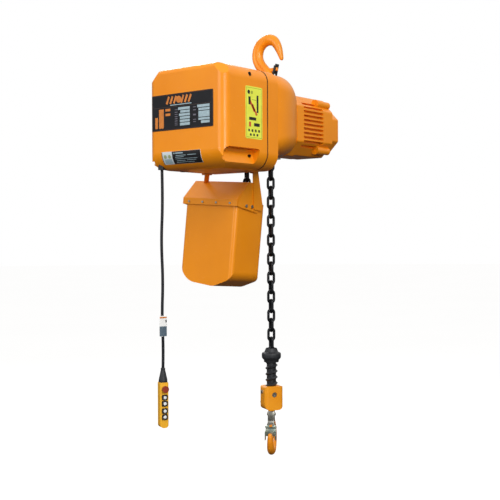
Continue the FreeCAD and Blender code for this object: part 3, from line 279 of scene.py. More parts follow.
def card(name, x0, x1, z0, z1, front, back, finish):
    """A thin curled card that hangs on the cable."""
    piece = block((x0, front, z0), (x1, back, z1), TAG_EDGE, 1)
    bpy.ops.object.transform_apply(location=True)
    bpy.ops.object.mode_set(mode="EDIT")
    bpy.ops.mesh.select_all(action="SELECT")
    bpy.ops.mesh.subdivide(number_cuts=7)
    bpy.ops.object.mode_set(mode="OBJECT")
    curl(piece, TAG_CURL)
    stand(piece, PENDANT_TURN, GLAND_X + TAG_SHIFT, GLAND_Y - TAG_SHIFT)
    return settle(piece, name, "pendant", "tag_card", [], finish)


tag_pieces = [card("tag_card", -TAG_HALF, TAG_HALF, TAG_LOW, TAG_HIGH, TAG_FRONT, TAG_FRONT + TAG_THICK,
                   "tag_card")]
for name, (x0, x1, z0, z1, finish) in TAG_PRINTS.items():
    tag_pieces.append(card(name, x0, x1, z0, z1, TAG_FRONT - TAG_INK, TAG_FRONT, finish))

# %% [markdown]
# ### Tag clip
# The card is held by a short plastic sleeve round the cable. Its rings end where they began, so the
# turned shape closes into a tube with a bore for the cable.

# %% Tag clip
CLIP_MIDDLE, CLIP_HALF = -0.772, 0.004
CLIP_BORE, CLIP_RADIUS = 0.0049, 0.0068

clip_low = CLIP_MIDDLE - CLIP_HALF
clip_high = CLIP_MIDDLE + CLIP_HALF
tag_clip = turned([(CLIP_BORE, clip_low), (CLIP_RADIUS, clip_low), (CLIP_RADIUS, clip_high),
                   (CLIP_BORE, clip_high), (CLIP_BORE, clip_low)], 32)
stand(tag_clip, 0, GLAND_X + TAG_SHIFT, GLAND_Y - TAG_SHIFT)
smooth_sides(tag_clip)
settle(tag_clip, "tag_clip", "pendant", "tag_card", ["cable_tag"])

# %% [markdown]
# ## Pendant boot
# The soft boot seals the cable into the pendant. It starts square, like the case under it, and draws in
# to a round neck, so it is turned first, and each ring is then pushed towards a rounded square, less
# and less with its height.

# %% Pendant boot
BOOT_LOW, BOOT_HIGH = -0.941, -0.902
BOOT_SQUARE = 0.2
BOOT_PROFILE = ((0.0, 0.0118), (0.05, 0.0122), (0.16, 0.0119), (0.34, 0.0104), (0.52, 0.0088),
                (0.68, 0.0074), (0.82, 0.0063), (0.9, 0.0059), (0.93, 0.0062), (0.97, 0.0062),
                (1.0, 0.0052))


def squared(piece, low, high, strength):
    """Pushes each ring towards a rounded square, fully at the low end and not at all at the high end."""
    for vertex in piece.data.vertices:
        share = max(0, 1 - (vertex.co.z - low) / (high - low))
        angle = math.atan2(vertex.co.y, vertex.co.x)
        reach = 1 + strength * share * (abs(math.sin(2 * angle)) ** 1.5)
        vertex.co.x *= reach
        vertex.co.y *= reach


boot_rings = [(radius, BOOT_LOW + share * (BOOT_HIGH - BOOT_LOW)) for share, radius in BOOT_PROFILE]
boot = turned(boot_rings, 48)
squared(boot, BOOT_LOW, BOOT_HIGH, BOOT_SQUARE)
stand(boot, PENDANT_TURN, GLAND_X, GLAND_Y)
smooth_sides(boot, 50)
settle(boot, "boot_sleeve", "pendant", "black_rubber", ["pendant_boot"])

# %% [markdown]
# ## Pendant keys
# Each black key carries a pale round field in its middle. The field is a low disc that stands a little
# proud of the key and rides with it, so it sinks when the key is pressed.

# %% Key fields
FIELD_RADIUS = 0.0042
FIELD_PROUD = 0.0004
FIELD_PROFILE = ((1, 0), (1, 0.6), (0.86, 1), (0.3, 0.8))
KEYS = {"button_raise": "raise_key", "button_lower": "lower_key",
        "button_left": "left_key", "button_right": "right_key"}
KEY_FACE = -0.0165
PENDANT_TOP = -0.941
KEY_DROPS = (0.0405, 0.057, 0.077, 0.0935)

for (node, body), drop in zip(KEYS.items(), KEY_DROPS):
    field = turned([(FIELD_RADIUS * wide, FIELD_PROUD * high) for wide, high in FIELD_PROFILE], 32)
    field.rotation_euler.x = math.radians(90)
    field.location = (0, KEY_FACE, PENDANT_TOP - drop)
    bpy.ops.object.transform_apply(location=True, rotation=True, scale=True)
    stand(field, PENDANT_TURN, GLAND_X, GLAND_Y)
    smooth_sides(field, 30)
    settle(field, node + "_field", body, "tag_card", [], "white_print")

# %% [markdown]
# ## Bumper
# The rubber bumper meets the chain guide when the block comes up too far. It is a turned disc with a
# collar up the chain and a bore that the chain passes. Its rings are written from three levels: the
# foot, the top of the disc and the top of the collar, so the shape follows the frame's piece.

# %% Bumper
BUMPER_LOW, COLLAR_TOP = (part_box("bumper")[i].z for i in (0, 1))
COLLAR_HIGH = 0.011
BUMPER_HIGH = COLLAR_TOP - COLLAR_HIGH
BORE = 0.0138
BUMPER_FOOT = ((BORE, 0), (0.0206, 0), (0.0212, 0.002), (0.0216, 0.006), (0.0258, 0.0105),
               (0.0270, 0.0125), (0.0275, 0.0155))
BUMPER_DISC = ((0.0275, -0.007), (0.0269, -0.004), (0.0252, -0.0022), (0.0225, -0.0012), (0.0202, 0),
               (0.0187, 0.003))
BUMPER_COLLAR = ((0.0166, -0.003), (0.0157, -0.0007), (0.0150, 0), (BORE, -0.0006))

bumper_rings = []
for level, profile in ((BUMPER_LOW, BUMPER_FOOT), (BUMPER_HIGH, BUMPER_DISC), (COLLAR_TOP, BUMPER_COLLAR)):
    bumper_rings += [(radius, level + height) for radius, height in profile]
bumper = turned(bumper_rings + bumper_rings[:1], 72)
smooth_sides(bumper, 45)
settle(bumper, "bumper_disc", "block", "black_rubber", ["bumper"])

# %% [markdown]
# ## Cushion spring
# Below the bumper a coil spring in a moulded rubber skin takes the shock. The skin follows the coil as
# a sharp spiral ridge. Rings would stand level, so a zigzag edge is screwed round the axis instead,
# once for each turn. Its ends are cut level, and the open skin gets its thickness last.

# %% Cushion spring
SPRING_LOW, SPRING_HIGH = (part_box("cushion_spring")[i].z for i in (0, 1))
SPRING_TURNS = 4
SPRING_CORE = 0.0135
SPRING_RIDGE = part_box("cushion_spring")[1].x
SPRING_STEPS = 48
SPRING_PROFILE = ((0, 0), (0, 0.34), (0.93, 0.52), (1, 0.58), (1, 0.62), (0.93, 0.68), (0, 0.86), (0, 1.0))
SKIN = 0.0005


def spiral_sleeve(low, high, turns, core, ridge):
    """A zigzag edge screwed up the axis, cut level at both ends and thickened into a skin."""
    rise = (high - low) / turns
    mesh = bpy.data.meshes.new("spiral")
    points = [(max(core, ridge * wide), 0, low - rise + share * rise) for wide, share in SPRING_PROFILE]
    mesh.from_pydata(points, [(i, i + 1) for i in range(len(points) - 1)], [])
    piece = bpy.data.objects.new("spiral", mesh)
    bpy.context.scene.collection.objects.link(piece)
    use_modifier(piece, "SCREW", steps=SPRING_STEPS, render_steps=SPRING_STEPS, axis="Z",
                 screw_offset=rise, iterations=turns + 2)
    only(piece)
    bpy.ops.object.mode_set(mode="EDIT")
    bpy.ops.mesh.select_all(action="SELECT")
    bpy.ops.mesh.remove_doubles(threshold=1e-6)
    for height, upper in ((low, False), (high, True)):
        bpy.ops.mesh.select_all(action="SELECT")
        bpy.ops.mesh.bisect(plane_co=(0, 0, height), plane_no=(0, 0, 1), use_fill=False,
                            clear_inner=not upper, clear_outer=upper)
    bpy.ops.object.mode_set(mode="OBJECT")
    outward(piece)
    use_modifier(piece, "SOLIDIFY", thickness=SKIN, offset=-1)
    return piece


spring = spiral_sleeve(SPRING_LOW, SPRING_HIGH, SPRING_TURNS, SPRING_CORE, SPRING_RIDGE)
smooth_sides(spring, 35)
settle(spring, "spring_skin", "block", "spring_steel", ["cushion_spring"])

# %% [markdown]
# ## Seal line and painted seam shade
# The dark line round the control box is partly its gasket and partly painted shade of the seam. A copy of the
# gasket, stretched to the strip's width and let stand proud of the wall, paints the seam's shadow in dark
# brown.

# %% Seal line and painted seam shade
SEAL_PROUD = 0.0003
# Width of the dark strip, over twice the gasket's, so that its dark brown paints the seam's shadow line.
SEAM_SHADE_WIDTH = 0.0034
seal = frame["nodes"]["cover_seal"]
seam_shade_strip = seal.copy()
seam_shade_strip.data = seal.data.copy()
bpy.context.scene.collection.objects.link(seam_shade_strip)
outward(seam_shade_strip)
seal_low, seal_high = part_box("cover_seal")
body_low, body_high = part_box("control_cover")
seal_middle = (seal_low + seal_high) / 2
grown = [SEAM_SHADE_WIDTH / (seal_high.x - seal_low.x)]
for axis in (1, 2):
    grown.append((body_high[axis] - body_low[axis] + 2 * SEAL_PROUD) / (seal_high[axis] - seal_low[axis]))
bpy.ops.object.mode_set(mode="EDIT")
bpy.ops.mesh.select_all(action="SELECT")
bpy.ops.transform.resize(value=grown, center_override=seal_middle)
bpy.ops.transform.translate(value=(seal_high.x - seal_middle.x - SEAM_SHADE_WIDTH / 2, 0, 0))
bpy.ops.object.mode_set(mode="OBJECT")
# The strip keeps the gasket's dark brown rubber, which here is painted shade of the seam.
settle(seam_shade_strip, "seal_line_painted_shade", "housing", "seal_rubber")

# %% [markdown]
# ## Forged hooks
# Both hooks are drop forged: a round bar is drawn out to a point, flattened where it carries the load,
# and bent. So a straight bar of many rings is turned first, and each ring is then carried to its place
# on the bend. The stations of a hook say where the middle of its bar runs, how thick it is in the plane
# of the bend and across it, and, as a share, how deep the forged groove in its sides is.

# %% Bending a bar
STATION_STEPS = 5
GROOVE_SPREAD = 0.34


def smooth_line(stations, steps):
    """Fills in between the stations so that the line has no corners."""
    line = []
    last = len(stations) - 1
    for i in range(last):
        four = [stations[max(0, min(last, i + k))] for k in (-1, 0, 1, 2)]
        for step in range(steps):
            # p, q, r and s are one measure at four stations, and t runs from q to r.
            t = step / steps
            line.append([0.5 * (2 * q + (r - p) * t + (2 * p - 5 * q + 4 * r - s) * t * t
                                + (3 * q - p - 3 * r + s) * t ** 3) for p, q, r, s in zip(*four)])
    return line + [list(stations[-1])]


def forging(stations, height, sides=32):
    """Stations are (y, z, half thickness, half width, groove) from the shank to the tip, in millimetres."""
    line = smooth_line(stations, STATION_STEPS)
    bar = turned([(1, index) for index in range(len(line))], sides)
    for vertex in bar.data.vertices:
        index = round(vertex.co.z)
        y, z, thick, wide = (value / 1000 for value in line[index][:4])
        before = line[max(0, index - 1)]
        after = line[min(len(line) - 1, index + 1)]
        along = Vector((0, after[0] - before[0], after[1] - before[1])).normalized()
        across, deep = vertex.co.y, vertex.co.x
        hollow = 1 - line[index][4] * math.exp(-(across / GROOVE_SPREAD) ** 2)
        vertex.co = (deep * wide * hollow, y - along.z * across * thick,
                     height + z + along.y * across * thick)
    outward(bar)
    smooth_sides(bar, 60)
    return bar


# %% [markdown]
# ### Suspension hook
# The whole hoist hangs by this hook. Its shank passes the cross bar and is held there by a hexagon nut,
# which is a turned shape of only six sides, and a small lug beside the shank carries the latch.

# %% Suspension hook
TOP_STATIONS = ((0, -134, 13, 13, 0), (0, -100, 13, 13, 0), (1, -90, 13.5, 13.5, 0), (9, -80, 15, 14.5, 0.08),
                (22, -68, 16, 15, 0.2), (35, -54, 16.5, 15, 0.24), (43.5, -38, 16.5, 15, 0.24),
                (45.5, -22, 16.5, 15, 0.24), (40.5, -4, 16.5, 15, 0.2), (28, 9.5, 16.3, 15, 0.1),
                (12, 15.8, 16, 14.5, 0.02), (0, 15.8, 15.8, 14.5, 0), (-13, 11, 14.5, 13.5, 0),
                (-24, -1, 12.5, 12, 0), (-32, -17, 10, 10, 0), (-37, -31, 7.5, 8, 0),
                (-40, -41, 5.5, 6.5, 0), (-41, -45, 3.8, 4.5, 0), (-41.3, -46.8, 1.5, 1.8, 0))
NUT_RINGS = ((0.0195, -0.1483), (0.020, -0.1473), (0.020, -0.1353), (0.0195, -0.1343))
TOP_LUG = ((-0.004, -0.026, -0.0745), (0.004, 0, -0.065))
LUG_EDGE = 0.0015

nut = turned(NUT_RINGS, 6)
lug = block(*TOP_LUG, LUG_EDGE)
top_hook = joined([forging(TOP_STATIONS, 0), nut, lug])
settle(top_hook, "suspension_hook_forged", "suspension", "hook_paint", ["top_hook"], "top_hook_paint")

# %% [markdown]
# ### Lower hook
# The load hangs here. The hook is forged like the upper one, but smaller, with a collar round its
# shank. It stands turned about the chain, as it does in the photograph.

# %% Lower hook
LOW_STATIONS = ((0, 96, 9.5, 9.5, 0), (0, 66, 9.5, 9.5, 0), (0.5, 54, 9.8, 9.8, 0), (9, 43, 11, 10.5, 0),
                (23, 29, 11.5, 11, 0.1), (32.5, 11, 11.5, 11, 0.12), (34, -8, 11.5, 11, 0.12),
                (26, -24, 11.7, 11, 0.08), (10, -33.6, 11.7, 11, 0), (-8, -33.6, 11.5, 10.5, 0),
                (-23.5, -24, 10.8, 10, 0), (-31, -8, 9.5, 9, 0), (-33.5, 6, 7.5, 7.6, 0),
                (-34, 15, 5.8, 6.4, 0), (-34, 19, 4, 4.6, 0), (-34, 20.6, 1.5, 1.8, 0))
LOW_TURN = -60.0
LOW_CENTRE = -1.124
COLLAR_RINGS = ((0.0145, -1.030), (0.015, -1.029), (0.015, -1.019), (0.0145, -1.018))
LOW_LUG = ((-0.004, -0.022, LOW_CENTRE + 0.0365), (0.004, 0, LOW_CENTRE + 0.0415))

collar = turned(COLLAR_RINGS, 48)
lug = block(*LOW_LUG, LUG_EDGE)
low_hook = joined([forging(LOW_STATIONS, LOW_CENTRE), collar, lug])
stand(low_hook, LOW_TURN, 0, 0)
settle(low_hook, "load_hook_forged", "load_hook", "hook_paint", ["lower_hook"], "low_hook_paint")

# %% [markdown]
# ## Latches
# Each latch closes the mouth of its hook, and turns with its own joint. The upper one is a black sheet
# channel that leans out towards the hook's tip. A folded sheet could be bent in edit mode, but a few
# thin plates on a pin give the same edges and stay easy to measure.

# %% Upper latch
TOP_PIN = (-0.0215, -0.0695)
TOP_LEAN = 14.0
TOP_PLATES = (((-8, -1.5, 6.2), (8, 1.2, 35)), ((-8, -1.5, -4), (-5.4, 5, 30)), ((5.4, -1.5, -4), (8, 5, 30)))
PLATE_EDGE = 0.0008
PIN_RADIUS = 0.0025
PIN_END = 0.0006
TOP_PIN_HALF = 0.0085


def pin(radius, half, y, z, sides=24):
    """A pin along X with rounded ends."""
    tip = radius * 0.8
    rod = turned([(tip, -half), (radius, -half + PIN_END), (radius, half - PIN_END), (tip, half)], sides)
    bpy.ops.object.transform_apply(location=True)
    rod.rotation_euler.y = math.radians(90)
    rod.location = (0, y, z)
    bpy.ops.object.transform_apply(location=True, rotation=True, scale=True)
    return rod


def plates(boxes):
    """Plates with eased edges, each from two corners in millimetres."""
    return [block([v / 1000 for v in low], [v / 1000 for v in high], PLATE_EDGE, 2) for low, high in boxes]


flap = joined(plates(TOP_PLATES) + [pin(PIN_RADIUS, TOP_PIN_HALF, 0, 0)])
flap.rotation_euler.x = math.radians(TOP_LEAN)
flap.location = (0, *TOP_PIN)
bpy.ops.object.transform_apply(location=True, rotation=True, scale=True)
smooth_sides(flap, 35)
settle(flap, "upper_latch_channel", "suspension_latch", "black_latch", ["top_latch"])

# %% [markdown]
# ### Lower latch and its bracket
# The lower latch is zinc plated and flares into two legs that straddle the tip. It hangs below a plated
# bracket, bolted through the shank, which stays with the hook. Both are plates that widen downwards,
# with a cheek on either side. Their heights are counted from the middle of the hook's bowl.

# %% Lower latch and its bracket
LOW_PIN = (-0.0175, LOW_CENTRE + 0.0365)
LOW_PIN_HALF = 0.0165
LEAF_EDGE = 0.0007
LEAF_DEPTH = (-0.0195, -0.0178)
LEAF_PLATES = ((0.0115, 0.0150, 0.041, 0.030), (0.0150, 0.0155, 0.031, 0.010))
LEGS = (0.0146, 0.0009, -0.0345, -0.0182, 0.026, 0.0005)
BRACKET_EDGE = 0.0006
BRACKET_DEPTH = (-0.0135, -0.0115)
BRACKET_PLATES = ((0.0085, 0.0085, 0.080, 0.052), (0.0085, 0.0140, 0.053, 0.034))
BRACKET_SIDES = (0.0088, 0.0008, -0.013, 0.001, 0.080, 0.050)
BOLT_RADIUS, BOLT_HALF = 0.0045, 0.0125
BOLT_PLACE = (-0.004, LOW_CENTRE + 0.071)


def tapered(x_top, x_low, front, back, high, low):
    """A plate that widens downwards."""
    plate = block((-x_top, front, LOW_CENTRE + low), (x_top, back, LOW_CENTRE + high), LEAF_EDGE, 2)
    bpy.ops.object.transform_apply(location=True, rotation=True, scale=True)
    middle = LOW_CENTRE + (high + low) / 2
    for vertex in plate.data.vertices:
        if vertex.co.z < middle:
            vertex.co.x *= x_low / x_top
    return plate


def cheeks(middle, half, front, back, high, low, bevel):
    """The same upright plate on either side."""
    return [block((side * middle - half, front, LOW_CENTRE + low),
                  (side * middle + half, back, LOW_CENTRE + high), bevel, 2) for side in (-1, 1)]


leaf = [tapered(x_top, x_low, *LEAF_DEPTH, high, low) for x_top, x_low, high, low in LEAF_PLATES]
leaf += cheeks(*LEGS, LEAF_EDGE)
low_latch = joined(leaf + [pin(PIN_RADIUS, LOW_PIN_HALF, *LOW_PIN)])
stand(low_latch, LOW_TURN, 0, 0)
smooth_sides(low_latch, 35)
settle(low_latch, "lower_latch_leaf", "load_latch", "zinc_latch", ["lower_latch"])

bracket = [tapered(x_top, x_low, *BRACKET_DEPTH, high, low) for x_top, x_low, high, low in BRACKET_PLATES]
bracket += cheeks(*BRACKET_SIDES, BRACKET_EDGE)
bracket = joined(bracket + [pin(BOLT_RADIUS, BOLT_HALF, *BOLT_PLACE, 6)])
stand(bracket, LOW_TURN, 0, 0)
smooth_sides(bracket, 35)
settle(bracket, "latch_bracket", "load_hook", "zinc_screw")

# %% [markdown]
# ## Printed plates
# The plates carry plain prints: bars, panels and discs. An image texture could hold them, but a film is
# sharp from any distance and needs no picture. Each print is a thin film in front of its plate, laid
# out flat, facing -Y, and then turned or wrapped onto the surface it belongs to.

# %% Films
FILM = 0.00015
FILM_EDGE = 0.00004


def film(across, up, wide, high, turn=0.0):
    """One printed patch in the XZ plane."""
    patch = block((-wide / 2, -FILM, -high / 2), (wide / 2, 0, high / 2), FILM_EDGE, 1)
    patch.rotation_euler.y = math.radians(turn)
    patch.location.x = across
    patch.location.z = up
    bpy.ops.object.transform_apply(location=True, rotation=True, scale=True)
    return patch


def spot(across, up, radius):
    """One printed disc in the XZ plane."""
    nothing_selected()
    bpy.ops.mesh.primitive_cylinder_add(vertices=32, radius=radius, depth=FILM,
                                        location=(across, -FILM / 2, up), rotation=(math.radians(90), 0, 0))
    patch = bpy.context.object
    bpy.ops.object.transform_apply(location=True, rotation=True, scale=True)
    return patch


def frame_lines(half_wide, half_high, line):
    """A printed border of four bars."""
    return [film(0, half_high, 2 * half_wide + line, line), film(0, -half_high, 2 * half_wide + line, line),
            film(-half_wide, 0, line, 2 * half_high), film(half_wide, 0, line, 2 * half_high)]


def in_shares(wide, high, shares):
    """Turns shares of a plate, measured from its upper left corner, into patches."""
    return [film(((left + right) / 2 - 0.5) * wide, (0.5 - (top + bottom) / 2) * high,
                 (right - left) * wide, (bottom - top) * high) for left, right, top, bottom in shares]


def printed(name, patches, finish, slot, turn, place):
    """Joins patches into one print and turns it onto its flat plate."""
    piece = joined(patches)
    piece.rotation_euler.z = math.radians(turn)
    piece.location = place
    settle(piece, name, "housing", slot, [], finish)


# %% [markdown]
# ### Rating plate prints
# The black plate on the front has a band of slanted bars with a disc, a block of four bars and two
# columns of plain fields. Most prints are lists of shares of the plate, from its upper left corner, so
# that the layout follows the plate's real size.

# %% Rating plate prints
plate_low, plate_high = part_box("rating_plate")
PLATE_WIDE = plate_high.y - plate_low.y
PLATE_HIGH = plate_high.z - plate_low.z
PLATE_PLACE = (plate_low.x, (plate_low.y + plate_high.y) / 2, (plate_low.z + plate_high.z) / 2)
TITLE_LEVEL = 0.33 * PLATE_HIGH
TITLE_SHARES = (0.27, 0.33, 0.39, 0.51, 0.57, 0.63)
TITLE_BAR = (0.0065, 0.0215, 24)
TITLE_DISC = 0.0092
DISC_SHARE = -0.05
BORDER_INSET = 0.002
BORDER_LINE = 0.0008
CAPTION_HIGH = 0.022
CAPTIONS = [(0.385, 0.43, top, top + CAPTION_HIGH)
            for top in (0.44, 0.51, 0.57, 0.63, 0.69, 0.75, 0.81, 0.86)]
CAPTIONS += [(0.685, 0.73, top, top + CAPTION_HIGH) for top in (0.42, 0.50, 0.62, 0.64, 0.76, 0.82)]
PLATE_PRINTS = {
    "plate_rule": ("brown_print", [(0.03, 0.97, 0.352, 0.362)]),
    "plate_strap": ("blue_grey_print", [(0.31, 0.66, 0.30, 0.322)]),
    "plate_figure": ("orange_print", [(0.055, 0.10, 0.62, 0.93), (0.12, 0.20, 0.40, 0.93),
                                      (0.23, 0.31, 0.40, 0.47), (0.23, 0.31, 0.53, 0.60)]),
    "plate_fields": ("blue_grey_print", [(0.44, 0.63, 0.395, 0.465), (0.475, 0.63, 0.485, 0.55),
                                         (0.455, 0.63, 0.57, 0.635), (0.47, 0.63, 0.655, 0.72),
                                         (0.47, 0.63, 0.74, 0.805), (0.47, 0.63, 0.825, 0.90),
                                         (0.75, 0.945, 0.385, 0.455), (0.77, 0.945, 0.475, 0.54),
                                         (0.77, 0.945, 0.56, 0.72), (0.77, 0.945, 0.74, 0.80),
                                         (0.81, 0.945, 0.82, 0.89)]),
    "plate_captions": ("grey_print", CAPTIONS),
}


def on_plate(name, patches, finish):
    printed(name, patches, finish, "black_plate", -90, PLATE_PLACE)


title = [film((share - 0.5) * PLATE_WIDE, TITLE_LEVEL, *TITLE_BAR) for share in TITLE_SHARES]
on_plate("plate_title", title + [spot(DISC_SHARE * PLATE_WIDE, TITLE_LEVEL, TITLE_DISC)], "orange_print")
for name, (finish, shares) in PLATE_PRINTS.items():
    on_plate(name, in_shares(PLATE_WIDE, PLATE_HIGH, shares), finish)
border = frame_lines(PLATE_WIDE / 2 - BORDER_INSET, PLATE_HIGH / 2 - BORDER_INSET, BORDER_LINE)
on_plate("plate_border", border, "brown_print")

# %% [markdown]
# ### Side label prints
# The yellow label on the side holds bars, two slanted strokes, discs and squares in rows. Its patches
# are in metres from the label's middle: across, up, wide, high and, where they slant, the turn.

# %% Side label prints
label_low, label_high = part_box("side_label")
LABEL_PLACE = ((label_low.x + label_high.x) / 2, label_low.y, (label_low.z + label_high.z) / 2)
LABEL_BORDER = (0.0315, 0.065, 0.0012)
LABEL_BARS = [(-0.019, 0.031, 0.0085, 0.021), (0.015, 0.024, 0.0075, 0.046), (-0.006, -0.016, 0.030, 0.008),
              (0.012, -0.031, 0.024, 0.0085)]
SQUARE_STEP = 0.014
LABEL_BARS += [(-0.021 + SQUARE_STEP * column, -0.047, 0.007, 0.007) for column in range(4)]
LABEL_BARS += [(-0.014 + SQUARE_STEP * column, -0.058, 0.007, 0.006) for column in range(3)]
LABEL_DISC = (-0.022, 0.053, 0.0055)
LABEL_STROKES = ((-0.008, 0.018, 0.007, 0.034, -35), (0.002, 0.008, 0.007, 0.034, -35),
                 (-0.017, -0.031, 0.009, 0.013))
OLIVE_DISC = (-0.009, 0.053, 0.0045)
OLIVE_BAR = (0.0, 0.034, 0.018, 0.0018)


def on_label(name, patches, finish):
    printed(name, patches, finish, "yellow_label", 0, LABEL_PLACE)


on_label("label_border", frame_lines(*LABEL_BORDER), "olive_print")
on_label("label_dark", [film(*bar) for bar in LABEL_BARS] + [spot(*LABEL_DISC)], "black_print")
on_label("label_orange", [film(*stroke) for stroke in LABEL_STROKES], "red_print")
on_label("label_olive", [spot(*OLIVE_DISC), film(*OLIVE_BAR)], "olive_print")

# %% [markdown]
# ### Lower label prints
# The label under the plate lies on the rounded lower edge of the cover. Its prints are laid out flat,
# cut finely, and each point is then carried round the edge's radius. Wide patches are laid in narrow
# strips, because a bend shows only where a mesh has points.

# %% Lower label prints
ROLL_RADIUS = 0.0487
ROLL_MIDDLE = (-0.264, -0.318)
LOWER_ACROSS = 0.0595
LOWER_WIDE, LOWER_HIGH = 0.139, 0.0362
LOWER_ROWS = [(0.31, 0.34, 0.10, 0.19), (0.36, 0.55, 0.10, 0.19), (0.36, 0.62, 0.30, 0.34),
              (0.66, 0.88, 0.29, 0.33), (0.34, 0.56, 0.42, 0.46), (0.34, 0.90, 0.56, 0.59),
              (0.36, 0.58, 0.70, 0.74), (0.62, 0.86, 0.69, 0.72), (0.34, 0.80, 0.84, 0.87)]
LIFTED = 0.00012
SPOT_SHARES = (0.085, 0.195)
SPOT_LEVEL = 0.13
SPOT_RADIUS = 0.0052


def wrapped(name, patches, finish):
    """Bends flat prints round the cover's lower edge."""
    piece = joined(patches)
    use_modifier(piece, "SUBSURF", subdivision_type="SIMPLE", levels=2, render_levels=2)
    for vertex in piece.data.vertices:
        angle = -(vertex.co.z - LOWER_HIGH / 2) / ROLL_RADIUS
        reach = ROLL_RADIUS - vertex.co.y
        vertex.co = (ROLL_MIDDLE[0] - reach * math.cos(angle), LOWER_ACROSS - vertex.co.x,
                     ROLL_MIDDLE[1] - reach * math.sin(angle))
    outward(piece)
    settle(piece, name, "housing", "white_label", [], finish)


def strips(left, right, top, bottom, count=6):
    """A wide patch in narrow strips, so that it can be bent."""
    step = (bottom - top) / count
    return [(left, right, top + i * step, top + (i + 1) * step) for i in range(count)]


DARK_STRIPS = strips(0.27, 0.995, 0.01, 0.99) + strips(0.003, 0.016, 0.01, 0.99)
FIELD_STRIPS = strips(0.05, 0.24, 0.55, 0.92, 3)

wrapped("lower_label_dark", in_shares(LOWER_WIDE, LOWER_HIGH, DARK_STRIPS), "black_print")
rows = in_shares(LOWER_WIDE, LOWER_HIGH, LOWER_ROWS)
for row in rows:
    row.data.transform(Matrix.Translation((0, -LIFTED, 0)))
wrapped("lower_label_rows", rows, "blue_grey_print")
spots = [spot((share - 0.5) * LOWER_WIDE, SPOT_LEVEL * LOWER_HIGH, SPOT_RADIUS) for share in SPOT_SHARES]
wrapped("lower_label_spots", spots, "moss_print")
wrapped("lower_label_field", in_shares(LOWER_WIDE, LOWER_HIGH, FIELD_STRIPS), "blue_grey_print")

# %% [markdown]
# ## Finishes
# Every finish is a node material on Object coordinates, so its grain has a real size and doesn't slide.
# One helper gives what all of them share: two tones mixed by a soft noise, a roughness that varies with
# a second noise, and a fine bump. What is the same all over a surface is set on the shader itself.

# %% Material helpers
def tone(hex_code):
    """Turns a paint chip written as six hex digits into the renderer's linear colour."""
    parts = [int(hex_code[i:i + 2], 16) / 255 for i in (0, 2, 4)]
    return [p / 12.92 if p <= 0.04045 else ((p + 0.055) / 1.055) ** 2.4 for p in parts] + [1]


class Finish:
    """A material under construction: its nodes, its shader and short ways to add to both."""

    def __init__(self, name, metallic=0.0, coat=0.0, coat_rough=0.1, specular=0.5):
        self.material = bpy.data.materials.new(name)
        self.material.use_nodes = True
        self.tree = self.material.node_tree
        self.shader = self.tree.nodes["Principled BSDF"]
        self.shader.inputs["Metallic"].default_value = metallic
        self.shader.inputs["Coat Weight"].default_value = coat
        self.shader.inputs["Coat Roughness"].default_value = coat_rough
        self.shader.inputs["Specular IOR Level"].default_value = specular
        self.place = self.add("ShaderNodeTexCoord").outputs["Object"]

    def feed(self, socket, value):
        """Links another node's socket, or sets a plain value."""
        if isinstance(value, bpy.types.NodeSocket):
            self.tree.links.new(value, socket)
        else:
            socket.default_value = value

    def add(self, kind, **inputs):
        node = self.tree.nodes.new(kind)
        for key, value in inputs.items():
            self.feed(node.inputs[key.replace("_", " ")], value)
        return node

    def stretched(self, scale):
        return self.add("ShaderNodeMapping", Vector=self.place, Scale=scale).outputs["Vector"]

    def noise(self, scale, detail=3.0, vector=None):
        return self.add("ShaderNodeTexNoise", Vector=vector or self.place, Scale=scale,
                        Detail=detail).outputs["Fac"]

    def spread(self, value, low, high, to_low=0.0, to_high=1.0):
        node = self.add("ShaderNodeMapRange", Value=value)
        for index, number in enumerate((low, high, to_low, to_high), 1):
            node.inputs[index].default_value = number
        return node.outputs["Result"]

    def mixed(self, share, first, second):
        node = self.tree.nodes.new("ShaderNodeMix")
        node.data_type = "RGBA"
        for index, value in ((0, share), (6, first), (7, second)):
            self.feed(node.inputs[index], value)
        return node.outputs[2]

    def math(self, operation, first, second=0.0):
        node = self.tree.nodes.new("ShaderNodeMath")
        node.operation = operation
        for socket, value in zip(node.inputs, (first, second)):
            self.feed(socket, value)
        return node.outputs[0]

    def colour(self, socket):
        self.tree.links.new(socket, self.shader.inputs["Base Color"])

    def rough(self, socket):
        self.tree.links.new(socket, self.shader.inputs["Roughness"])

    def bump(self, height, depth, strength=1.0):
        node = self.add("ShaderNodeBump", Height=height, Strength=strength, Distance=depth)
        self.tree.links.new(node.outputs["Normal"], self.shader.inputs["Normal"])


FINISHES = {}


def surface(name, light, dark, rough, patch, grain, depth, **shader):
    """Two tones in soft patches, roughness from low to high, and a grain of a given depth."""
    finish = Finish(name, **shader)
    patches = finish.spread(finish.noise(patch, 4.0), 0.3, 0.7)
    grains = finish.noise(grain, 2.0)
    finish.colour(finish.mixed(patches, tone(light), tone(dark)))
    finish.rough(finish.spread(finish.noise(patch * 2.3, 5.0), 0.3, 0.7, *rough))
    finish.bump(grains, depth)
    FINISHES[name] = finish.material


# %% [markdown]
# ### Enamel on the castings
# The housing is stoved orange enamel on cast aluminium: glossy, with a faint orange peel, a little dust
# in broad patches and a few fine scratches. The scratches are noise that is stretched in one
# direction and cut off high, so that only its crests are left.

# %% Orange enamels
SCRATCH = "FFD9A0"


def enamel(name, light, dark, rough, peel, depth, coat):
    """Stoved enamel: two tones, fine scratches and a peel of a given scale and depth."""
    finish = Finish(name, coat=coat, coat_rough=0.2, specular=0.35)
    patches = finish.spread(finish.noise(7.0, 5.0), 0.35, 0.75)
    base = finish.mixed(patches, tone(light), tone(dark))
    streaks = finish.noise(60.0, 2.0, finish.stretched((1.0, 1.0, 12.0)))
    scratches = finish.spread(streaks, 0.72, 0.78, 0.0, 0.35)
    finish.colour(finish.mixed(scratches, base, tone(SCRATCH)))
    finish.rough(finish.spread(finish.noise(22.0, 6.0), 0.3, 0.75, *rough))
    finish.bump(finish.noise(peel, 2.0), depth)
    FINISHES[name] = finish.material


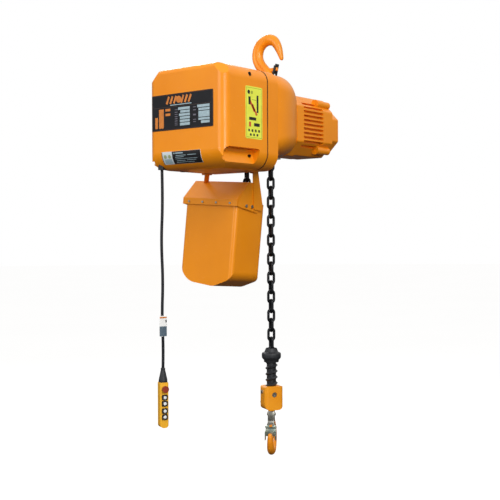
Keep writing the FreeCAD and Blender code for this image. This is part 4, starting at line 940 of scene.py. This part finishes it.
enamel("orange_paint", "F2920D", "EB890A", (0.3, 0.45), 420.0, 0.00012, 0.15)
enamel("container_paint", "F2940F", "EA8B0C", (0.34, 0.5), 300.0, 0.0001, 0.1)
print("enamels", sorted(FINISHES))

# %% [markdown]
# ### Enamel on the forgings
# The hooks are forged, so the enamel lies on a rougher skin, and in the bowl, where the load's eye
# rubs, it has worn through to steel. The distance from the bowl's middle says where that is.

# %% Hook enamel
FORGED_LIGHT, FORGED_DARK = "EE9212", "DF820C"
WORN_STEEL = "8A7358"
RAGGED = 0.003


def forged(name, middle, bowl):
    """Enamel that is worn off within the bowl's radius of its middle."""
    finish = Finish(name, coat=0.15, coat_rough=0.2, specular=0.4)
    patches = finish.spread(finish.noise(16.0, 5.0), 0.35, 0.75)
    base = finish.mixed(patches, tone(FORGED_LIGHT), tone(FORGED_DARK))
    offset = finish.add("ShaderNodeMapping", Vector=finish.place, Location=[-value for value in middle])
    length = finish.tree.nodes.new("ShaderNodeVectorMath")
    length.operation = "LENGTH"
    finish.tree.links.new(offset.outputs["Vector"], length.inputs[0])
    ragged = finish.math("ADD", length.outputs["Value"],
                         finish.spread(finish.noise(260.0, 6.0), 0.0, 1.0, -RAGGED, RAGGED))
    worn = finish.spread(ragged, bowl - 0.0005, bowl + 0.0025, 0.75, 0.0)
    finish.colour(finish.mixed(worn, base, tone(WORN_STEEL)))
    finish.rough(finish.spread(finish.noise(40.0, 5.0), 0.3, 0.7, 0.3, 0.5))
    finish.bump(finish.noise(170.0, 4.0), 0.0004)
    FINISHES[name] = finish.material


TOP_BOWL, LOW_BOWL = 0.026, 0.023
forged("top_hook_paint", (0, 0, -TOP_BOWL), TOP_BOWL)
forged("low_hook_paint", (0, 0, LOW_CENTRE), LOW_BOWL)
print("worn within", TOP_BOWL, "and", LOW_BOWL, "m")

# %% [markdown]
# ### Plain finishes
# The other finishes differ only in their numbers, so they are one table and one loop. A row holds the
# two tones, the range of roughness, how fine the patches and the grain are, how deep the grain is in
# metres, and what the shader has beyond that.

# %% Table of finishes
PLAIN = {
    "hook_paint": ("F4A01A", "EC9412", (0.3, 0.45), 18.0, 240.0, 0.0003, dict(coat=0.15)),
    "chain_steel": ("26282C", "0E0F12", (0.28, 0.5), 90.0, 700.0, 0.0003, dict(metallic=0.7)),
    "machined_steel": ("A9ABAE", "8C8E91", (0.22, 0.36), 60.0, 900.0, 0.0001, dict(metallic=1.0)),
    "lamination_steel": ("6E6A66", "4C4946", (0.4, 0.6), 40.0, 600.0, 0.0002, dict(metallic=0.8)),
    "winding": ("A8612A", "7C4319", (0.25, 0.45), 80.0, 500.0, 0.0004, dict(metallic=0.6)),
    "zinc_screw": ("C9C8BE", "9B9A90", (0.25, 0.42), 120.0, 800.0, 0.0001, dict(metallic=0.9)),
    "black_screw": ("2A2622", "14110F", (0.35, 0.55), 140.0, 800.0, 0.0001, dict(metallic=0.4)),
    "black_latch": ("1B1C1F", "0D0E10", (0.3, 0.5), 70.0, 500.0, 0.0002, dict(coat=0.2)),
    "zinc_latch": ("C6CCBC", "8FA096", (0.25, 0.42), 45.0, 500.0, 0.0002, dict(metallic=0.75)),
    "black_rubber": ("23262B", "15171B", (0.45, 0.62), 50.0, 500.0, 0.0004, {}),
    "cable_sheath": ("1B1D22", "14151A", (0.45, 0.55), 30.0, 600.0, 0.00004, dict(specular=0.3)),
    "spring_steel": ("23252A", "121317", (0.35, 0.52), 60.0, 450.0, 0.0003, {}),
    # Dark brown gasket rubber; on the widened seal copy it is also painted shade of the seam.
    "seal_rubber": ("2A1A10", "160D08", (0.6, 0.8), 60.0, 500.0, 0.0003, {}),
    "black_plate": ("16171D", "101116", (0.42, 0.55), 25.0, 500.0, 0.00003, dict(specular=0.25)),
    "white_label": ("D9E1E4", "C3CDD2", (0.35, 0.5), 40.0, 500.0, 0.00003, dict(coat=0.2)),
    "yellow_label": ("ECF254", "DFE545", (0.35, 0.48), 40.0, 500.0, 0.00003, dict(coat=0.2)),
    "tag_card": ("F7F7F5", "E6E6E4", (0.3, 0.45), 60.0, 500.0, 0.0001, dict(coat=0.3)),
    "pendant_yellow": ("F8BC30", "EEAC24", (0.35, 0.5), 30.0, 650.0, 0.0002, {}),
    "stop_red": ("9C3A22", "842A18", (0.3, 0.45), 60.0, 600.0, 0.0001, dict(coat=0.2)),
    "button_black": ("2B2725", "1C1A19", (0.42, 0.6), 60.0, 700.0, 0.0002, {}),
    "black_plastic": ("202124", "15161A", (0.4, 0.55), 50.0, 600.0, 0.0002, {}),
    "electric_plastic": ("5B5D61", "494B4F", (0.45, 0.6), 50.0, 500.0, 0.0002, {}),
    "plain_casting": ("9A9790", "7F7C75", (0.45, 0.62), 30.0, 260.0, 0.0005, dict(metallic=0.7)),
    "white_print": ("F4F6F6", "DDE2E4", (0.35, 0.5), 90.0, 500.0, 0.00003, {}),
    "black_print": ("1E1E22", "131316", (0.35, 0.5), 90.0, 500.0, 0.00003, {}),
    "orange_print": ("D9812E", "C06F26", (0.35, 0.5), 90.0, 500.0, 0.00003, {}),
    "blue_grey_print": ("A9BEC6", "93AAB3", (0.35, 0.5), 200.0, 500.0, 0.00003, {}),
    "red_print": ("D8602F", "C24F24", (0.35, 0.5), 90.0, 500.0, 0.00003, {}),
    "brown_print": ("4A3428", "3A2A22", (0.35, 0.5), 90.0, 500.0, 0.00003, {}),
    "grey_print": ("6E6C78", "55535E", (0.35, 0.5), 90.0, 500.0, 0.00003, {}),
    "moss_print": ("A8B48C", "8E9C74", (0.35, 0.5), 90.0, 500.0, 0.00003, {}),
    "olive_print": ("A9B038", "949A30", (0.35, 0.5), 90.0, 500.0, 0.00003, {}),
    "tag_print": ("5F7280", "3E4F5D", (0.35, 0.5), 700.0, 500.0, 0.00003, {}),
}
for name, (light, dark, rough, patch, grain, depth, shader) in PLAIN.items():
    surface(name, light, dark, rough, patch, grain, depth, **shader)
print(len(FINISHES), "finishes")

# %% [markdown]
# ## Dressing the pieces
# Each carried-over node takes the finish of its slot in the record, and the two hooks their own. The
# new pieces noted a finish when they were settled, so one loop can now give it to them.

# %% Finishes on the nodes
SPECIAL = {"top_hook": "top_hook_paint", "lower_hook": "low_hook_paint"}


def dress(piece, finish):
    """Gives a piece one finish."""
    piece.data.materials.clear()
    piece.data.materials.append(FINISHES[finish])


for part in frame["record"]["subparts"]:
    node = part["node"]
    dress(frame["nodes"][node], SPECIAL.get(node, part["material_slot"]))
for piece, finish in pieces_to_finish:
    dress(piece, finish)
print(len(frame["nodes"]), "nodes and", len(pieces_to_finish), "new pieces dressed")

# %% [markdown]
# ## Studio
# The floor is a plain pale disc below the hoist, a stage piece that the object doesn't keep. The sky is
# plain too, and brighter to the camera than to the object, so that the underside stays dark as it does
# in front of a white wall.

# %% Floor
FLOOR_DROP = 0.25
FLOOR_RADIUS = 30
FLOOR_GLOW = 0.8

nothing_selected()
bpy.ops.mesh.primitive_circle_add(vertices=96, radius=FLOOR_RADIUS, fill_type="NGON",
                                  location=(0, 0, CAD_BOX[0][2] - FLOOR_DROP))
floor = bpy.context.object
floor.name = "floor"
floor.visible_diffuse = False
floor.visible_glossy = False
ground = Finish("ground", specular=0.0)
ground.colour(ground.mixed(ground.noise(0.8), tone("8C8C8C"), tone("868686")))
ground.shader.inputs["Roughness"].default_value = 0.9
ground.shader.inputs["Emission Color"].default_value = (1, 1, 1, 1)
ground.shader.inputs["Emission Strength"].default_value = FLOOR_GLOW
floor.data.materials.append(ground.material)
print("floor at", round(CAD_BOX[0][2] - FLOOR_DROP, 3))

# %% [markdown]
# ### Sky
# One world can't be two brightnesses, so two backgrounds are mixed by whether the ray comes from the
# camera. The one that lights the hoist grows with the height it shines from.

# %% Sky
UNDER_GLOW, UPPER_GLOW = 0.06, 0.8
GLOW_LOW, GLOW_HIGH = -0.12, 0.5
WARM_WHITE = (1, 0.98, 0.95, 1)

world = bpy.data.worlds.new("sky")
world.use_nodes = True
bpy.context.scene.world = world
sky = world.node_tree
backdrop = sky.nodes["Background"]
backdrop.inputs["Color"].default_value = (1, 1, 1, 1)
backdrop.inputs["Strength"].default_value = 1.0
glow = sky.nodes.new("ShaderNodeBackground")
glow.inputs["Color"].default_value = WARM_WHITE
bearing = sky.nodes.new("ShaderNodeTexCoord")
heights = sky.nodes.new("ShaderNodeSeparateXYZ")
sky.links.new(bearing.outputs["Generated"], heights.inputs[0])
falloff = sky.nodes.new("ShaderNodeMapRange")
sky.links.new(heights.outputs["Z"], falloff.inputs["Value"])
for index, number in enumerate((GLOW_LOW, GLOW_HIGH, UNDER_GLOW, UPPER_GLOW), 1):
    falloff.inputs[index].default_value = number
sky.links.new(falloff.outputs["Result"], glow.inputs["Strength"])
path = sky.nodes.new("ShaderNodeLightPath")
choice = sky.nodes.new("ShaderNodeMixShader")
sky.links.new(path.outputs["Is Camera Ray"], choice.inputs["Fac"])
sky.links.new(glow.outputs["Background"], choice.inputs[1])
sky.links.new(backdrop.outputs["Background"], choice.inputs[2])
sky.links.new(choice.outputs["Shader"], sky.nodes["World Output"].inputs["Surface"])
print("sky nodes", len(sky.nodes))

# %% [markdown]
# ### Lamps
# A large soft lamp stands before the front corner, a small one draws the highlights on the box, and two
# more open the shadows from the side and from behind.

# %% Lamps
LAMPS = {"key": ((-1.5, -2.5, 1.2), (0, 0, -0.3), 1.4, 50),
         "strip": ((-2.3, -2.9, -0.1), (-0.3, -0.1, -0.25), 0.6, 34),
         "fill": ((-3.0, 0.6, 0.4), (0, 0, -0.4), 1.8, 30),
         "back": ((1.8, 2.2, 1.4), (0, 0, -0.4), 1.5, 35)}

for name, (place, aim, size, watts) in LAMPS.items():
    data = bpy.data.lights.new(name, "AREA")
    data.shape = "DISK"
    data.size = size
    data.energy = watts
    light = bpy.data.objects.new(name, data)
    light.location = place
    light.rotation_euler = (Vector(aim) - Vector(place)).to_track_quat("-Z", "Y").to_euler()
    bpy.context.scene.collection.objects.link(light)
bpy.context.scene.view_settings.view_transform = "Standard"
print(len(LAMPS), "lamps")
